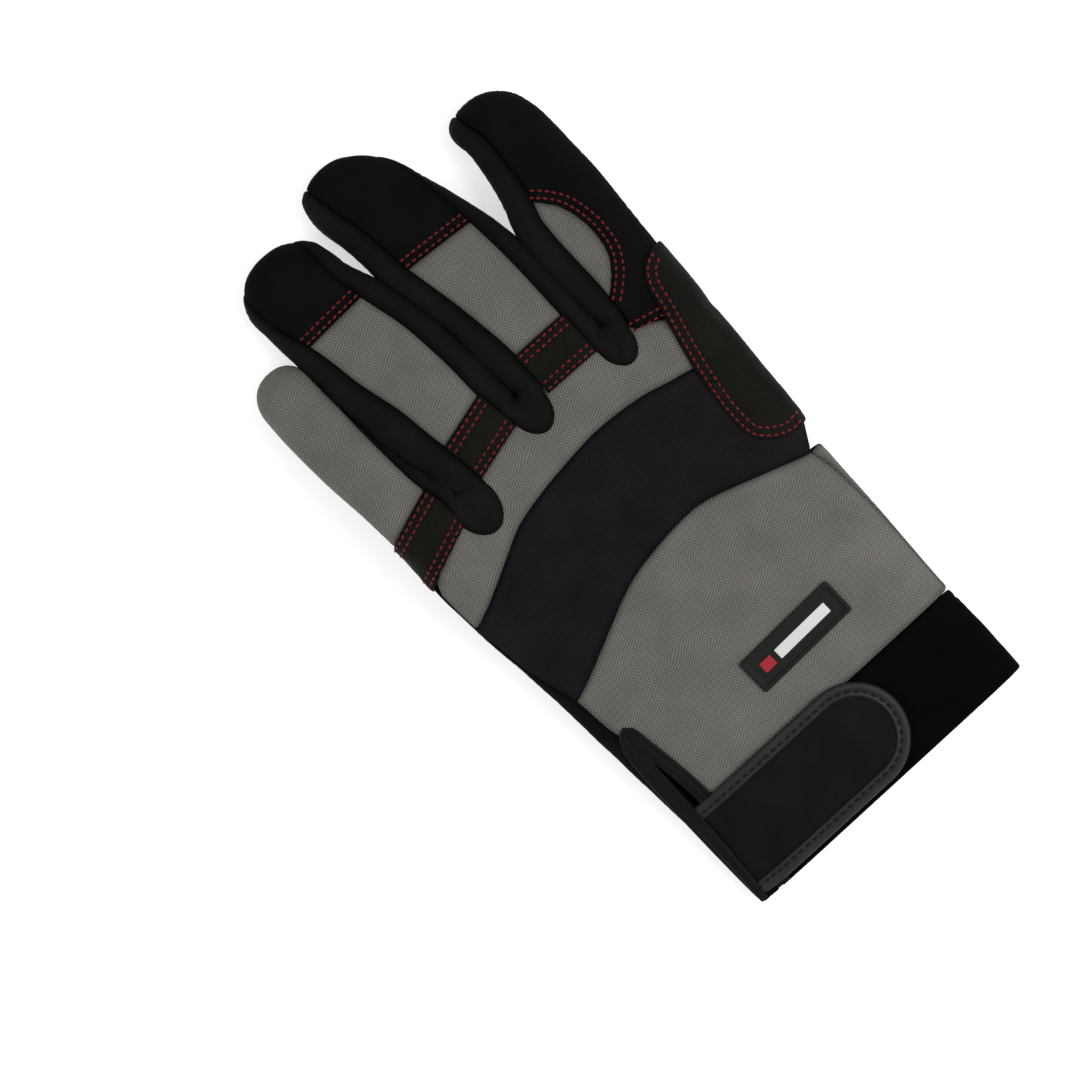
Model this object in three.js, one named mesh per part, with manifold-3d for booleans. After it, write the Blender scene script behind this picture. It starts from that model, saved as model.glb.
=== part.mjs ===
// A left-hand mechanic's work glove, size 10, lying back up with its thumb folded under its palm.
// It is an empty sewn shell: every panel is a wall of cloth or synthetic leather, cut from one
// hollow hand form along the glove's seams, with patches, binding and a closing strap laid on it.
// Millimetres. +Y points to the fingertips, +X to the index finger's side, +Z up from the floor.
import * as THREE from "three";
import { mergeVertices } from "three/addons/utils/BufferGeometryUtils.js";
import Module from "manifold-3d";

const wasm = await Module();
wasm.setup();

// Driving sizes
const HAND_LENGTH = 150; // cuff end to the crotches between the fingers
const HAND_HALF = 60; // the glove's middle line to the little finger's edge of the knuckles
const HAND_THICK = 13; // empty hand and fingers, back to palm, outside
const THUMB_THICK = 10; // folded thumb, outside
const THUMB_CLEARANCE = 2.2; // thumb's upper side to the palm above it
const WALL = 1.5; // cloth or synthetic leather with its backing
const SEAM_GAP = 0.3; // between two panels along a seam
const REST_FLATTENING = 0.5; // how much of the rounded underside the floor presses flat
const CUFF_HEIGHT = 31; // elastic cuff band
const VENT_LENGTH = 62; // slit at the wrist's little-finger edge, from the cuff end
const VENT_WIDTH = 0.8;
const STRAP_LENGTH = 64; // strap from its sewn end to its round tip
const STRAP_WIDTH = 32.5;
const STRAP_THICK = 1.8;
const STRAP_RIM_WIDTH = 2.6; // raised edge all round the strap
const STRAP_RIM_THICK = 2.5;
const BINDING_WIDTH = 3.1; // tape folded over each edge of the wrist slit
const BINDING_THICK = 1.3;
const LABEL_LENGTH = 34.5; // plain rubber badge on the back of the hand
const LABEL_WIDTH = 11.5;
const LABEL_THICK = 0.9;
const LABEL_RIM_WIDTH = 1.3;
const LABEL_RIM_RISE = 0.4;
const PATCH_THICK = 1.0; // reinforcement patches sewn on the outside
const BAND_SWELL = 0.5; // how far the foam knuckle band stands above the cloth beside it

const LAY_CLEARANCE = SEAM_GAP; // under anything that lies on the shell
const SEAM_DROP = 0.16 * HAND_THICK; // the side seam, below the middle of the thickness
const THUMB_LIFT = THUMB_THICK + THUMB_CLEARANCE;
const REACH = 4 * HAND_HALF; // longer than any cutter needs to be

// The hand from the cuff end (at 0) to the knuckles. at: share of the hand length;
// little, index: the two side edges, as shares of the hand's half-width.
const HAND_SECTIONS = [
  { at: 0, little: -0.833, index: 0.833 },
  { at: 0.13, little: -0.858, index: 0.833 },
  { at: 0.22, little: -0.873, index: 0.825 },
  { at: 0.31, little: -0.888, index: 0.825 },
  { at: 0.43, little: -0.908, index: 0.828 },
  { at: 0.6, little: -0.94, index: 0.833 },
  { at: 0.73, little: -0.978, index: 0.853 },
  { at: 0.84, little: -0.998, index: 0.87 },
  { at: 0.9, little: -0.995, index: 0.873 },
];
const HAND_NOSE_START = 0.9; // where the hand starts to thin out between the finger roots
const HAND_NOSE_END = 1.04;

// The side view. at: share of the hand length; thick: share of the hand's thickness;
// lift: share of the height at which the folded thumb holds the hand above the floor.
const SIDE_PROFILE = [
  { at: -0.1, thick: 0.8, lift: 0 },
  { at: 0, thick: 0.8, lift: 0 },
  { at: 0.13, thick: 0.8, lift: 0 },
  { at: 0.22, thick: 0.86, lift: 0.22 },
  { at: 0.31, thick: 0.93, lift: 0.62 },
  { at: 0.43, thick: 1, lift: 1 },
  { at: 1.08, thick: 1, lift: 1 },
  { at: 1.2, thick: 0.97, lift: 0.74 },
  { at: 1.36, thick: 0.94, lift: 0.2 },
  { at: 1.46, thick: 0.92, lift: 0 },
  { at: 1.8, thick: 0.9, lift: 0 },
];
const LITTLE_SAG = 0.7; // share of the lift lost at the little finger's edge of the palm

// The fingers. rootX, rootY: where the tube starts inside the hand, as shares of the hand's
// half-width and length. Sections: at is a share of the finger's length, centre and half are
// the middle line's sideways shift and the half-width, as shares of the finger's width.
// round: where the rounded tip starts; tip: sideways shift of the very end.
const FINGERS = {
  index: {
    rootX: 0.667, rootY: 0.84, length: 102.3, width: 29.8, round: 0.899, tip: 0.034,
    sections: [
      { at: 0, centre: -0.017, half: 0.41 },
      { at: 0.186, centre: 0, half: 0.44 },
      { at: 0.332, centre: 0.003, half: 0.463 },
      { at: 0.606, centre: 0.044, half: 0.493 },
      { at: 0.723, centre: 0.107, half: 0.436 },
      { at: 0.841, centre: 0.144, half: 0.396 },
      { at: 0.899, centre: 0.131, half: 0.369 },
    ],
  },
  middle: {
    rootX: 0.183, rootY: 0.84, length: 116.5, width: 33, round: 0.824, tip: -0.409,
    sections: [
      { at: 0, centre: 0, half: 0.439 },
      { at: 0.206, centre: -0.009, half: 0.458 },
      { at: 0.335, centre: -0.03, half: 0.474 },
      { at: 0.506, centre: -0.045, half: 0.486 },
      { at: 0.678, centre: -0.155, half: 0.5 },
      { at: 0.824, centre: -0.255, half: 0.455 },
    ],
  },
  ring: {
    rootX: -0.342, rootY: 0.84, length: 109, width: 35, round: 0.853, tip: -0.329,
    sections: [
      { at: 0, centre: 0, half: 0.4 },
      { at: 0.22, centre: -0.012, half: 0.452 },
      { at: 0.358, centre: -0.083, half: 0.483 },
      { at: 0.495, centre: -0.123, half: 0.498 },
      { at: 0.633, centre: -0.166, half: 0.491 },
      { at: 0.771, centre: -0.249, half: 0.463 },
      { at: 0.853, centre: -0.3, half: 0.426 },
    ],
  },
  little: {
    rootX: -0.783, rootY: 0.84, length: 83.2, width: 22.6, round: 0.877, tip: -0.288,
    sections: [
      { at: 0, centre: -0.02, half: 0.5 },
      { at: 0.264, centre: -0.075, half: 0.495 },
      { at: 0.409, centre: -0.159, half: 0.447 },
      { at: 0.589, centre: -0.252, half: 0.425 },
      { at: 0.769, centre: -0.305, half: 0.407 },
      { at: 0.877, centre: -0.31, half: 0.398 },
    ],
  },
};

// The folded thumb, from the fold at the index finger's edge of the hand to its tip. Each row
// is a section between the thumb's edge near the cuff and its edge near the fingers, as shares
// of the hand's half-width and length. rise: 1 where its top reaches into the hand, 0 where it
// lies flat under the palm. end: how far the row takes part in growing the thumb's two ends.
const THUMB_SECTIONS = [
  { nearX: 0.735, nearY: 0.262, farX: 0.822, farY: 0.575, rise: 0.86, end: -1 },
  { nearX: 0.667, nearY: 0.25, farX: 0.808, farY: 0.597, rise: 1, end: -1 },
  { nearX: 0.55, nearY: 0.272, farX: 0.775, farY: 0.64, rise: 0.85, end: 0 },
  { nearX: 0.267, nearY: 0.367, farX: 0.7, farY: 0.72, rise: 0.3, end: 0 },
  { nearX: -0.1, nearY: 0.52, farX: 0.567, farY: 0.793, rise: 0, end: 0 },
  { nearX: -0.333, nearY: 0.673, farX: 0.4, farY: 0.853, rise: 0, end: 0 },
  { nearX: -0.517, nearY: 0.827, farX: 0.2, farY: 0.92, rise: 0, end: 0 },
  { nearX: -0.608, nearY: 0.947, farX: 0.042, farY: 0.99, rise: 0, end: 0.5 },
  { nearX: -0.583, nearY: 1.013, farX: -0.083, farY: 1.037, rise: 0, end: 1 },
  { nearX: -0.48, nearY: 1.057, farX: -0.2, farY: 1.07, rise: -0.25, end: 1 },
];

// Where the points of a section stand, as shares of its half-width, and how full it is.
const FINGER_ACROSS = [-1, -0.9, -0.62, -0.2, 0.2, 0.62, 0.9, 1];
const HAND_ACROSS = [-1, -0.98, -0.92, -0.78, -0.4, 0, 0.4, 0.78, 0.92, 0.98, 1];
const THUMB_ACROSS = [-1, -0.93, -0.7, 0, 0.7, 0.93, 1];
const FINGER_FULLNESS = 2.6;
const HAND_FULLNESS = 7;
const THUMB_FULLNESS = 4;
const TIP_STEPS = [0.5, 0.84, 0.98];
const ROOT_THIN = 0.85; // the finger's start is thinner than the hand it starts in
const TIP_FULLNESS = 2.3;

// The value of one column at a place between the rows of a table, along a smooth curve.
function follow(rows, key, at) {
  const last = rows.length - 1;
  const clamped = THREE.MathUtils.clamp(at, rows[0].at, rows[last].at);
  let i = rows.findIndex((row) => row.at >= clamped);
  i = Math.max(i, 1);
  const slope = (a, b) => (rows[b][key] - rows[a][key]) / (rows[b].at - rows[a].at);
  const from = slope(Math.max(i - 2, 0), i);
  const to = slope(i - 1, Math.min(i + 1, last));
  const span = rows[i].at - rows[i - 1].at;
  const t = (clamped - rows[i - 1].at) / span;
  const a = rows[i - 1][key];
  const b = rows[i][key];
  return (
    a * (1 + 2 * t) * (1 - t) ** 2 + from * span * t * (1 - t) ** 2 +
    b * t * t * (3 - 2 * t) - to * span * t * t * (1 - t)
  );
}

const thickAt = (y) => HAND_THICK * follow(SIDE_PROFILE, "thick", y / HAND_LENGTH);

// Height of the middle of the hand's and fingers' thickness, draped over the folded thumb.
function middleHeight(x, y) {
  const sideways = THREE.MathUtils.smoothstep(-x / HAND_HALF, 0.1, 0.95);
  const cuffwards = 1 - THREE.MathUtils.smoothstep(y / HAND_LENGTH, 0.6, 0.92);
  const lift = follow(SIDE_PROFILE, "lift", y / HAND_LENGTH) * THUMB_LIFT;
  return thickAt(y) / 2 - REST_FLATTENING + lift * (1 - LITTLE_SAG * sideways * cuffwards);
}

// Solids from three.js geometry, and back.
function solid(geometry) {
  geometry.deleteAttribute("normal");
  geometry.deleteAttribute("uv");
  const merged = mergeVertices(geometry);
  const made = new wasm.Manifold(
    new wasm.Mesh({
      numProp: 3,
      vertProperties: merged.getAttribute("position").array,
      triVerts: new Uint32Array(merged.getIndex().array),
    }),
  );
  return made;
}

// A closed tube through rings of points that all have the same count.
function loft(rings) {
  const count = rings[0].length;
  const points = rings.flat();
  const faces = [];
  for (let r = 0; r < rings.length - 1; r++) {
    for (let i = 0; i < count; i++) {
      const a = r * count + i;
      const b = r * count + ((i + 1) % count);
      faces.push(a, b, a + count, b, b + count, a + count);
    }
  }
  for (const [ring, outwards] of [[0, false], [rings.length - 1, true]]) {
    const centre = new THREE.Vector3();
    rings[ring].forEach((point) => centre.addScaledVector(point, 1 / count));
    points.push(centre);
    for (let i = 0; i < count; i++) {
      const a = ring * count + i;
      const b = ring * count + ((i + 1) % count);
      faces.push(...(outwards ? [a, b, points.length - 1] : [b, a, points.length - 1]));
    }
  }
  const geometry = new THREE.BufferGeometry().setFromPoints(points);
  geometry.setIndex(faces);
  return solid(geometry);
}

// One section of the hand or a finger, grown by an offset; the floor presses its underside flat.
function flatRing(y, little, index, half, across, fullness, grow) {
  const point = (share, side) => {
    const x = THREE.MathUtils.lerp(little - grow, index + grow, (share + 1) / 2);
    const rise = side * (half + grow) * Math.sqrt(1 - Math.abs(share) ** fullness);
    return new THREE.Vector3(x, y, Math.max(middleHeight(x, y) + rise, -grow));
  };
  const top = across.map((share) => point(share, 1));
  const under = across.slice(1, -1).reverse().map((share) => point(share, -1));
  return [...top, ...under];
}

function handForm(grow) {
  const start = grow < 0 ? [{ ...HAND_SECTIONS[0], at: -0.05 }] : [];
  const rings = [...start, ...HAND_SECTIONS].map(({ at, little, index }) =>
    flatRing(
      at * HAND_LENGTH, little * HAND_HALF, index * HAND_HALF, thickAt(at * HAND_LENGTH) / 2,
      HAND_ACROSS, HAND_FULLNESS, grow,
    ));
  const end = HAND_SECTIONS.at(-1);
  const noseLength = (HAND_NOSE_END - HAND_NOSE_START) * HAND_LENGTH + grow;
  for (const share of TIP_STEPS) {
    const y = HAND_NOSE_START * HAND_LENGTH + share * noseLength;
    const round = Math.sqrt(1 - share ** 2);
    const narrow = 1 - 0.05 * share;
    const half = (thickAt(y) / 2 + grow) * round - grow;
    rings.push(flatRing(
      y, end.little * HAND_HALF * narrow, end.index * HAND_HALF * narrow, half,
      HAND_ACROSS, HAND_FULLNESS, grow,
    ));
  }
  return loft(rings);
}

// Middle line and half-width of a finger at a share of its length.
function fingerAt(name, at) {
  const finger = FINGERS[name];
  const rows = [...finger.sections, { at: 1, centre: finger.tip, half: 0 }];
  const inTip = Math.max(0, (at - finger.round) / (1 - finger.round));
  const widest = follow(finger.sections, "half", Math.min(at, finger.round));
  return {
    x: finger.rootX * HAND_HALF + follow(rows, "centre", at) * finger.width,
    y: finger.rootY * HAND_LENGTH + at * finger.length,
    half: widest * finger.width * (1 - Math.min(inTip, 1) ** TIP_FULLNESS) ** (1 / TIP_FULLNESS),
  };
}

function fingerForm(name, grow) {
  const finger = FINGERS[name];
  const ring = (at, round, push) => {
    const { x, y, half } = fingerAt(name, Math.min(at, finger.round));
    const centre = fingerAt(name, at);
    const wide = (half + grow) * (push ? round : 1) - grow;
    const place = push ? centre.y + grow * push : y;
    const tall = (thickAt(place) / 2 + grow) * round - grow;
    const middle = push ? centre.x : x;
    return flatRing(
      place, middle - wide, middle + wide, tall, FINGER_ACROSS, FINGER_FULLNESS, grow,
    );
  };
  const rings = finger.sections.map(({ at }) => ring(at, at > 0 ? 1 : ROOT_THIN, 0));
  for (const share of TIP_STEPS) {
    const at = THREE.MathUtils.lerp(finger.round, 1, share);
    rings.push(ring(at, (1 - share ** TIP_FULLNESS) ** (1 / TIP_FULLNESS), share));
  }
  return loft(rings);
}

function thumbForm(grow) {
  const place = ({ nearX, nearY, farX, farY }) => [
    new THREE.Vector2(nearX * HAND_HALF, nearY * HAND_LENGTH),
    new THREE.Vector2(farX * HAND_HALF, farY * HAND_LENGTH),
  ];
  const middle = (row) => new THREE.Vector2().addVectors(...place(row)).multiplyScalar(0.5);
  const along = middle(THUMB_SECTIONS.at(-1)).sub(middle(THUMB_SECTIONS[0])).normalize();
  const rings = THUMB_SECTIONS.map((row) => {
    const [near, far] = place(row);
    const outwards = far.clone().sub(near).normalize().multiplyScalar(grow);
    const push = along.clone().multiplyScalar(grow * row.end);
    near.sub(outwards).add(push);
    far.add(outwards).add(push);
    const point = (share, side) => {
      const flat = near.clone().lerp(far, (share + 1) / 2);
      const top = THUMB_THICK + row.rise * (middleHeight(flat.x, flat.y) - THUMB_THICK);
      const rise = side * (top / 2 + grow) * Math.sqrt(1 - Math.abs(share) ** THUMB_FULLNESS);
      return new THREE.Vector3(flat.x, flat.y, top / 2 + rise);
    };
    const upper = THUMB_ACROSS.map((share) => point(share, 1));
    const under = THUMB_ACROSS.slice(1, -1).reverse().map((share) => point(share, -1));
    return [...upper, ...under];
  });
  return loft(rings);
}

// Hand and fingers without the thumb, grown by an offset; each is made once.
const handForms = new Map();
function handAndFingers(grow) {
  if (!handForms.has(grow)) {
    const parts = Object.keys(FINGERS).map((name) => fingerForm(name, grow));
    handForms.set(grow, parts.reduce((sum, part) => sum.add(part), handForm(grow)));
  }
  return handForms.get(grow);
}

const hollow = handAndFingers(-WALL).add(thumbForm(-WALL));
const shell = handAndFingers(0).add(thumbForm(0)).subtract(hollow);

// Cutters. A prism stands on an outline in the glove's plan; a slab fills the space under a height.
function prism(points) {
  const shape = new THREE.Shape(points.map(([x, y]) => new THREE.Vector2(x, y)));
  const geometry = new THREE.ExtrudeGeometry(shape, { depth: REACH, bevelEnabled: false });
  return solid(geometry.translate(0, 0, -REACH / 2));
}

function slabUnder(height) {
  const geometry = new THREE.BoxGeometry(REACH, 1.5 * REACH, REACH, 16, 30, 1);
  const position = geometry.getAttribute("position");
  for (let i = 0; i < position.count; i++) {
    const y = position.getY(i) + REACH / 2;
    position.setY(i, y);
    position.setZ(i, position.getZ(i) > 0 ? height(position.getX(i), y) : -REACH);
  }
  return solid(geometry);
}

// An outline grown by a distance, along the bisector of each corner.
function outset(points, distance) {
  const area = THREE.ShapeUtils.area(points.map(([x, y]) => new THREE.Vector2(x, y)));
  const turn = Math.sign(area) * distance;
  return points.map(([x, y], i) => {
    const before = points[(i + points.length - 1) % points.length];
    const after = points[(i + 1) % points.length];
    const a = new THREE.Vector2(x - before[0], y - before[1]).normalize();
    const b = new THREE.Vector2(after[0] - x, after[1] - y).normalize();
    const along = a.clone().add(b).normalize();
    const reach = turn / Math.max(along.dot(a), 0.5);
    return [x + along.y * reach, y - along.x * reach];
  });
}

const smooth = (points, steps) =>
  new THREE.SplineCurve(points.map(([x, y]) => new THREE.Vector2(x, y)))
    .getPoints(steps).map(({ x, y }) => [x, y]);

// A place on the hand from shares of its half-width and length.
const onHand = ([x, y]) => [x * HAND_HALF, y * HAND_LENGTH];

const seamSlab = slabUnder((x, y) => middleHeight(x, y) - SEAM_DROP);
const upperSlab = slabUnder(() => REACH).subtract(seamSlab);

// The edge of the palm leather that shows along the little finger's side of the back.
const LITTLE_SEAM = [
  [-0.77, -0.05], [-0.783, 0.207], [-0.825, 0.433], [-0.858, 0.533], [-0.93, 0.64],
  [-0.975, 0.76], [-0.99, 0.867], [-1.06, 0.98],
];
const backOutline = [
  ...smooth(LITTLE_SEAM, 10).map(onHand), ...[[-1.3, 1], [-1.3, 1.8], [1.3, 1.8], [1.3, -0.05]].map(onHand),
];

// The thumb's cloth runs over the fold at the index finger's edge and meets the back there.
const FOLD_SEAM = [[0.765, 0.588], [0.79, 0.55], [0.808, 0.49], [0.817, 0.4], [0.82, 0.15]];
const foldOutline = [...smooth(FOLD_SEAM, 8), [1.2, 0.15], [1.2, 0.61], [0.84, 0.61]].map(onHand);

const cuffLine = (grow) => prism([
  [-REACH, -REACH], [REACH, -REACH], [REACH, CUFF_HEIGHT + grow], [-REACH, CUFF_HEIGHT + grow],
]);
const foldBlock = (grow) => prism(outset(foldOutline, grow)).subtract(cuffLine(SEAM_GAP / 2));

// Panels of the back, in order: each keeps clear of those before it. They are the shell above
// the side seam, inside an outline in the plan.
const backZone = upperSlab.intersect(prism(backOutline)).subtract(foldBlock(SEAM_GAP));
const parts = [];
let taken = null;

function largest(made) {
  const bodies = made.decompose();
  return bodies.reduce((best, body) => (body.volume() > best.volume() ? body : best));
}

function addPart(name, made, look) {
  parts.push({ name, made: largest(made), look });
}

function addPanel(name, cutter, keepOff, look, swell = 0) {
  const walls = swell > 0 ? handAndFingers(swell).subtract(hollow) : shell;
  let made = walls.intersect(backZone).subtract(cuffLine(SEAM_GAP / 2)).intersect(cutter);
  if (taken) made = made.subtract(taken);
  addPart(name, made, look);
  taken = taken ? taken.add(keepOff) : keepOff;
}

const LOOKS = {
  knit: { color: 0x6f6d66, roughness: 0.95, metalness: 0 },
  leather: { color: 0x191a18, roughness: 0.7, metalness: 0 },
  patch: { color: 0x1c1e19, roughness: 0.75, metalness: 0 },
  foam: { color: 0x1e1b20, roughness: 0.9, metalness: 0 },
  stretch: { color: 0x171816, roughness: 0.85, metalness: 0 },
  cuff: { color: 0x0d0d10, roughness: 1, metalness: 0 },
  strap: { color: 0x1f201f, roughness: 0.6, metalness: 0 },
  rubber: { color: 0x20231f, roughness: 0.5, metalness: 0 },
};

// Edges of the cloth or leather on each finger's back. at: share of the finger's length;
// little, index: shares of its half-width there. The side walls lie outside these edges.
const BACK_EDGES = {
  index: [
    { at: 0, little: -0.62, index: 1.3 }, { at: 0.186, little: -0.62, index: 1.3 },
    { at: 0.32, little: -0.5, index: 1.3 }, { at: 0.6, little: -0.5, index: 1.3 },
    { at: 0.67, little: -0.45, index: 1.3 }, { at: 0.83, little: -0.51, index: 1.3 },
    { at: 0.95, little: -0.48, index: 1.3 }, { at: 1.1, little: -0.48, index: 1.3 },
  ],
  middle: [
    { at: 0.1, little: -0.62, index: 0.62 }, { at: 0.335, little: -0.5, index: 0.64 },
    { at: 0.5, little: -0.6, index: 0.66 }, { at: 0.66, little: -0.59, index: 0.78 },
    { at: 0.82, little: -0.56, index: 0.92 }, { at: 0.93, little: -0.62, index: 1.03 },
    { at: 1.1, little: -0.7, index: 1.3 },
  ],
  ring: [
    { at: 0.1, little: -0.5, index: 0.66 }, { at: 0.3, little: -0.475, index: 0.6 },
    { at: 0.44, little: -0.48, index: 0.64 }, { at: 0.59, little: -0.62, index: 0.64 },
    { at: 0.74, little: -0.67, index: 0.62 }, { at: 0.86, little: -0.84, index: 0.7 },
    { at: 0.96, little: -1.1, index: 0.85 }, { at: 1.1, little: -1.3, index: 1 },
  ],
  little: [
    { at: 0, little: -1.4, index: 0.62 }, { at: 0.33, little: -1.4, index: 0.66 },
    { at: 0.47, little: -1.4, index: 0.78 }, { at: 0.59, little: -1.4, index: 0.89 },
    { at: 0.77, little: -1.4, index: 1.02 }, { at: 1.1, little: -1.4, index: 1.4 },
  ],
};

// Cross seams on each finger's back, at its little-finger side and its index-finger side, as
// shares of the finger's length: the knuckle strip's two edges and the tip cap's edge.
const CROSS_SEAMS = {
  index: { base: [0.156, 0.03] },
  middle: { base: [0.206, 0.203], strip: [0.327, 0.325], cap: [0.668, 0.652] },
  ring: { base: [0.174, 0.216], strip: [0.298, 0.339], cap: [0.739, 0.746] },
  little: { base: [0.054, 0.15], strip: [0.246, 0.33] },
};
const TIP_END = [1.1, 1.1];

function onFinger(name, at, across) {
  const { x, y, half } = fingerAt(name, Math.min(at, 1));
  const wide = Math.max(half, 0.4 * FINGERS[name].width);
  const beyond = Math.max(0, at - 1) * FINGERS[name].length;
  return [x + across * (at > FINGERS[name].round ? wide : half), y + beyond];
}

// Shares of a finger's length between two ends, the same for all panels along one edge.
const STATIONS = [0.1, 0.2, 0.3, 0.4, 0.5, 0.6, 0.7, 0.8, 0.88, 0.95, 1];
const stations = (from, to) => [from, ...STATIONS.filter((at) => at > from && at < to), to];

// Part of a finger's back between two cross seams.
function fingerPatch(name, [fromLittle, fromIndex], [toLittle, toIndex]) {
  const rows = BACK_EDGES[name];
  const edge = (key, from, to) =>
    stations(from, to).map((at) => onFinger(name, at, follow(rows, key, at)));
  return [...edge("little", fromLittle, toLittle), ...edge("index", fromIndex, toIndex).reverse()];
}

// A strip of the finger's side outside one edge of its back, from a share of its length up.
function fingerSide(name, key, from) {
  const ats = stations(from, 0.99);
  const edges = ats.map((at) => follow(BACK_EDGES[name], key, at));
  const inner = ats.map((at, i) => onFinger(name, at, edges[i]));
  const beyond = edges.map((edge) => Math.sign(edge) * Math.max(1.12, Math.abs(edge) + 0.1));
  const outer = ats.map((at, i) => onFinger(name, at, beyond[i]));
  return [...inner, ...outer.reverse()];
}

// The side walls between two fingers are one piece that ends in a rounded drop on the back.
// x, y: middle of the drop's arc; half, deep: its radii; all as shares of the hand's sizes.
const DROPS = [
  { name: "side_wall_index_middle", left: "middle", right: "index", x: 0.432, y: 0.99, half: 0.092, deep: 0.055 },
  { name: "side_wall_middle_ring", left: "ring", right: "middle", x: -0.08, y: 1.005, half: 0.1, deep: 0.058 },
  { name: "side_wall_ring_little", left: "little", right: "ring", x: -0.582, y: 0.94, half: 0.116, deep: 0.067 },
];
const DROP_MEETS_SIDES = { little: 0.33, ring: 0.34, middle: 0.33, index: 0.3 };

function dropOutline({ left, right, x, y, half, deep }) {
  const arc = [0, 1, 2, 3, 4, 5, 6].map((step) => {
    const angle = Math.PI * (1 + step / 6);
    return onHand([x + half * Math.cos(angle), y + deep * Math.sin(angle)]);
  });
  const meet = (name, key) => onFinger(
    name, DROP_MEETS_SIDES[name], follow(BACK_EDGES[name], key, DROP_MEETS_SIDES[name]),
  );
  return [...arc, meet(right, "little"), meet(left, "index")];
}

for (const drop of DROPS) {
  const outlines = [
    dropOutline(drop),
    fingerSide(drop.left, "index", DROP_MEETS_SIDES[drop.left] - 0.1),
    fingerSide(drop.right, "little", DROP_MEETS_SIDES[drop.right] - 0.1),
  ];
  const joined = (grow) => outlines.map((outline) => prism(outset(outline, grow)))
    .reduce((sum, part) => sum.add(part));
  addPanel(drop.name, joined(0), joined(SEAM_GAP), LOOKS.stretch);
}

// The half-moon of cloth in the index finger's back. at and across as on the finger.
const WINDOW = [[0.318, -0.6], [0.34, -0.28], [0.42, 0.14], [0.5, 0.19], [0.6, 0.05], [0.662, -0.36], [0.664, -0.6]];
const windowOutline = smooth(WINDOW, 14).map(([at, across]) => onFinger("index", at, across));
addPanel("index_window", prism(windowOutline), prism(outset(windowOutline, SEAM_GAP)), LOOKS.knit);

const panelBetween = (name, finger, from, to, look, swell) => {
  const outline = fingerPatch(finger, from, to);
  addPanel(name, prism(outset(outline, 0)), prism(outset(outline, SEAM_GAP)), look, swell);
};
panelBetween("index_shell", "index", CROSS_SEAMS.index.base, TIP_END, LOOKS.leather);
for (const finger of ["middle", "ring"]) {
  const { base, strip, cap } = CROSS_SEAMS[finger];
  panelBetween(finger + "_strip", finger, base, strip, LOOKS.patch);
  panelBetween(finger + "_panel", finger, strip, cap, LOOKS.knit);
  panelBetween(finger + "_cap", finger, cap, TIP_END, LOOKS.leather);
}
panelBetween("little_strip", "little", CROSS_SEAMS.little.base, CROSS_SEAMS.little.strip, LOOKS.patch);
panelBetween("little_panel", "little", CROSS_SEAMS.little.strip, TIP_END, LOOKS.knit);

// The foam band over the knuckles, between two arched seams.
const BAND_TOP = [
  [-1.1, 0.735], [-0.98, 0.76], [-0.833, 0.783], [-0.667, 0.817], [-0.5, 0.85], [-0.333, 0.867],
  [-0.167, 0.877], [0.083, 0.885], [0.333, 0.877], [0.5, 0.86], [0.617, 0.848], [0.95, 0.8],
];
const BAND_BOTTOM = [
  [-1.1, 0.5], [-0.85, 0.526], [-0.75, 0.547], [-0.5, 0.593], [-0.333, 0.623], [-0.167, 0.642],
  [0.083, 0.653], [0.25, 0.649], [0.5, 0.617], [0.667, 0.593], [0.77, 0.58], [0.95, 0.64],
];
const bandOutline = [...smooth(BAND_TOP, 16), ...smooth(BAND_BOTTOM, 16).reverse()].map(onHand);
addPanel("knuckle_band", prism(bandOutline), prism(outset(bandOutline, SEAM_GAP)), LOOKS.foam, BAND_SWELL);

// The vent runs from the cuff end up the little finger's edge of the wrist.
const VENT_LINE = [[-0.735, -0.05], [-0.735, 0.12], [-0.745, 0.23], [-0.775, 0.33]];
const ventTop = [-0.805 * HAND_HALF, VENT_LENGTH];
const ventPath = [...VENT_LINE.map(onHand), ventTop];
const ribbon = (path, half) => [
  ...path.map(([x, y]) => [x - half, y]), ...path.map(([x, y]) => [x + half, y]).reverse(),
];
const vent = prism(ribbon(ventPath, VENT_WIDTH / 2)).intersect(upperSlab);

// What is left of the back is two panels of cloth, above and below the band.
const bandMiddle = smooth(BAND_BOTTOM, 12).map(([x, y]) => onHand([x, y + 0.1]));
const aboveBand = prism([...bandMiddle, ...[[1.4, 1.1], [-1.4, 1.1]].map(onHand)]);
const belowBand = prism([...bandMiddle, ...[[1.4, -0.1], [-1.4, -0.1]].map(onHand)]);
addPanel("knuckle_panel", aboveBand, aboveBand, LOOKS.knit);
const backRest = shell.intersect(backZone).subtract(cuffLine(SEAM_GAP / 2)).subtract(taken);
addPart("back_panel", backRest.intersect(belowBand).subtract(vent), LOOKS.knit);

// The palm is one piece of leather under the hand and all four fingers, and it comes up round
// the little finger's edge of the hand.
const palmZone = handAndFingers(SEAM_GAP / 3)
  .subtract(upperSlab.intersect(prism(outset(backOutline, SEAM_GAP / 2))))
  .subtract(foldBlock(SEAM_GAP / 2))
  .subtract(cuffLine(SEAM_GAP / 2));
const palmGap = slabUnder((x, y) => middleHeight(x, y) - SEAM_DROP - SEAM_GAP)
  .add(slabUnder(() => REACH).subtract(prism(backOutline)));
addPart("palm_leather", shell.intersect(palmZone).intersect(palmGap).subtract(vent), LOOKS.leather);

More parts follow.
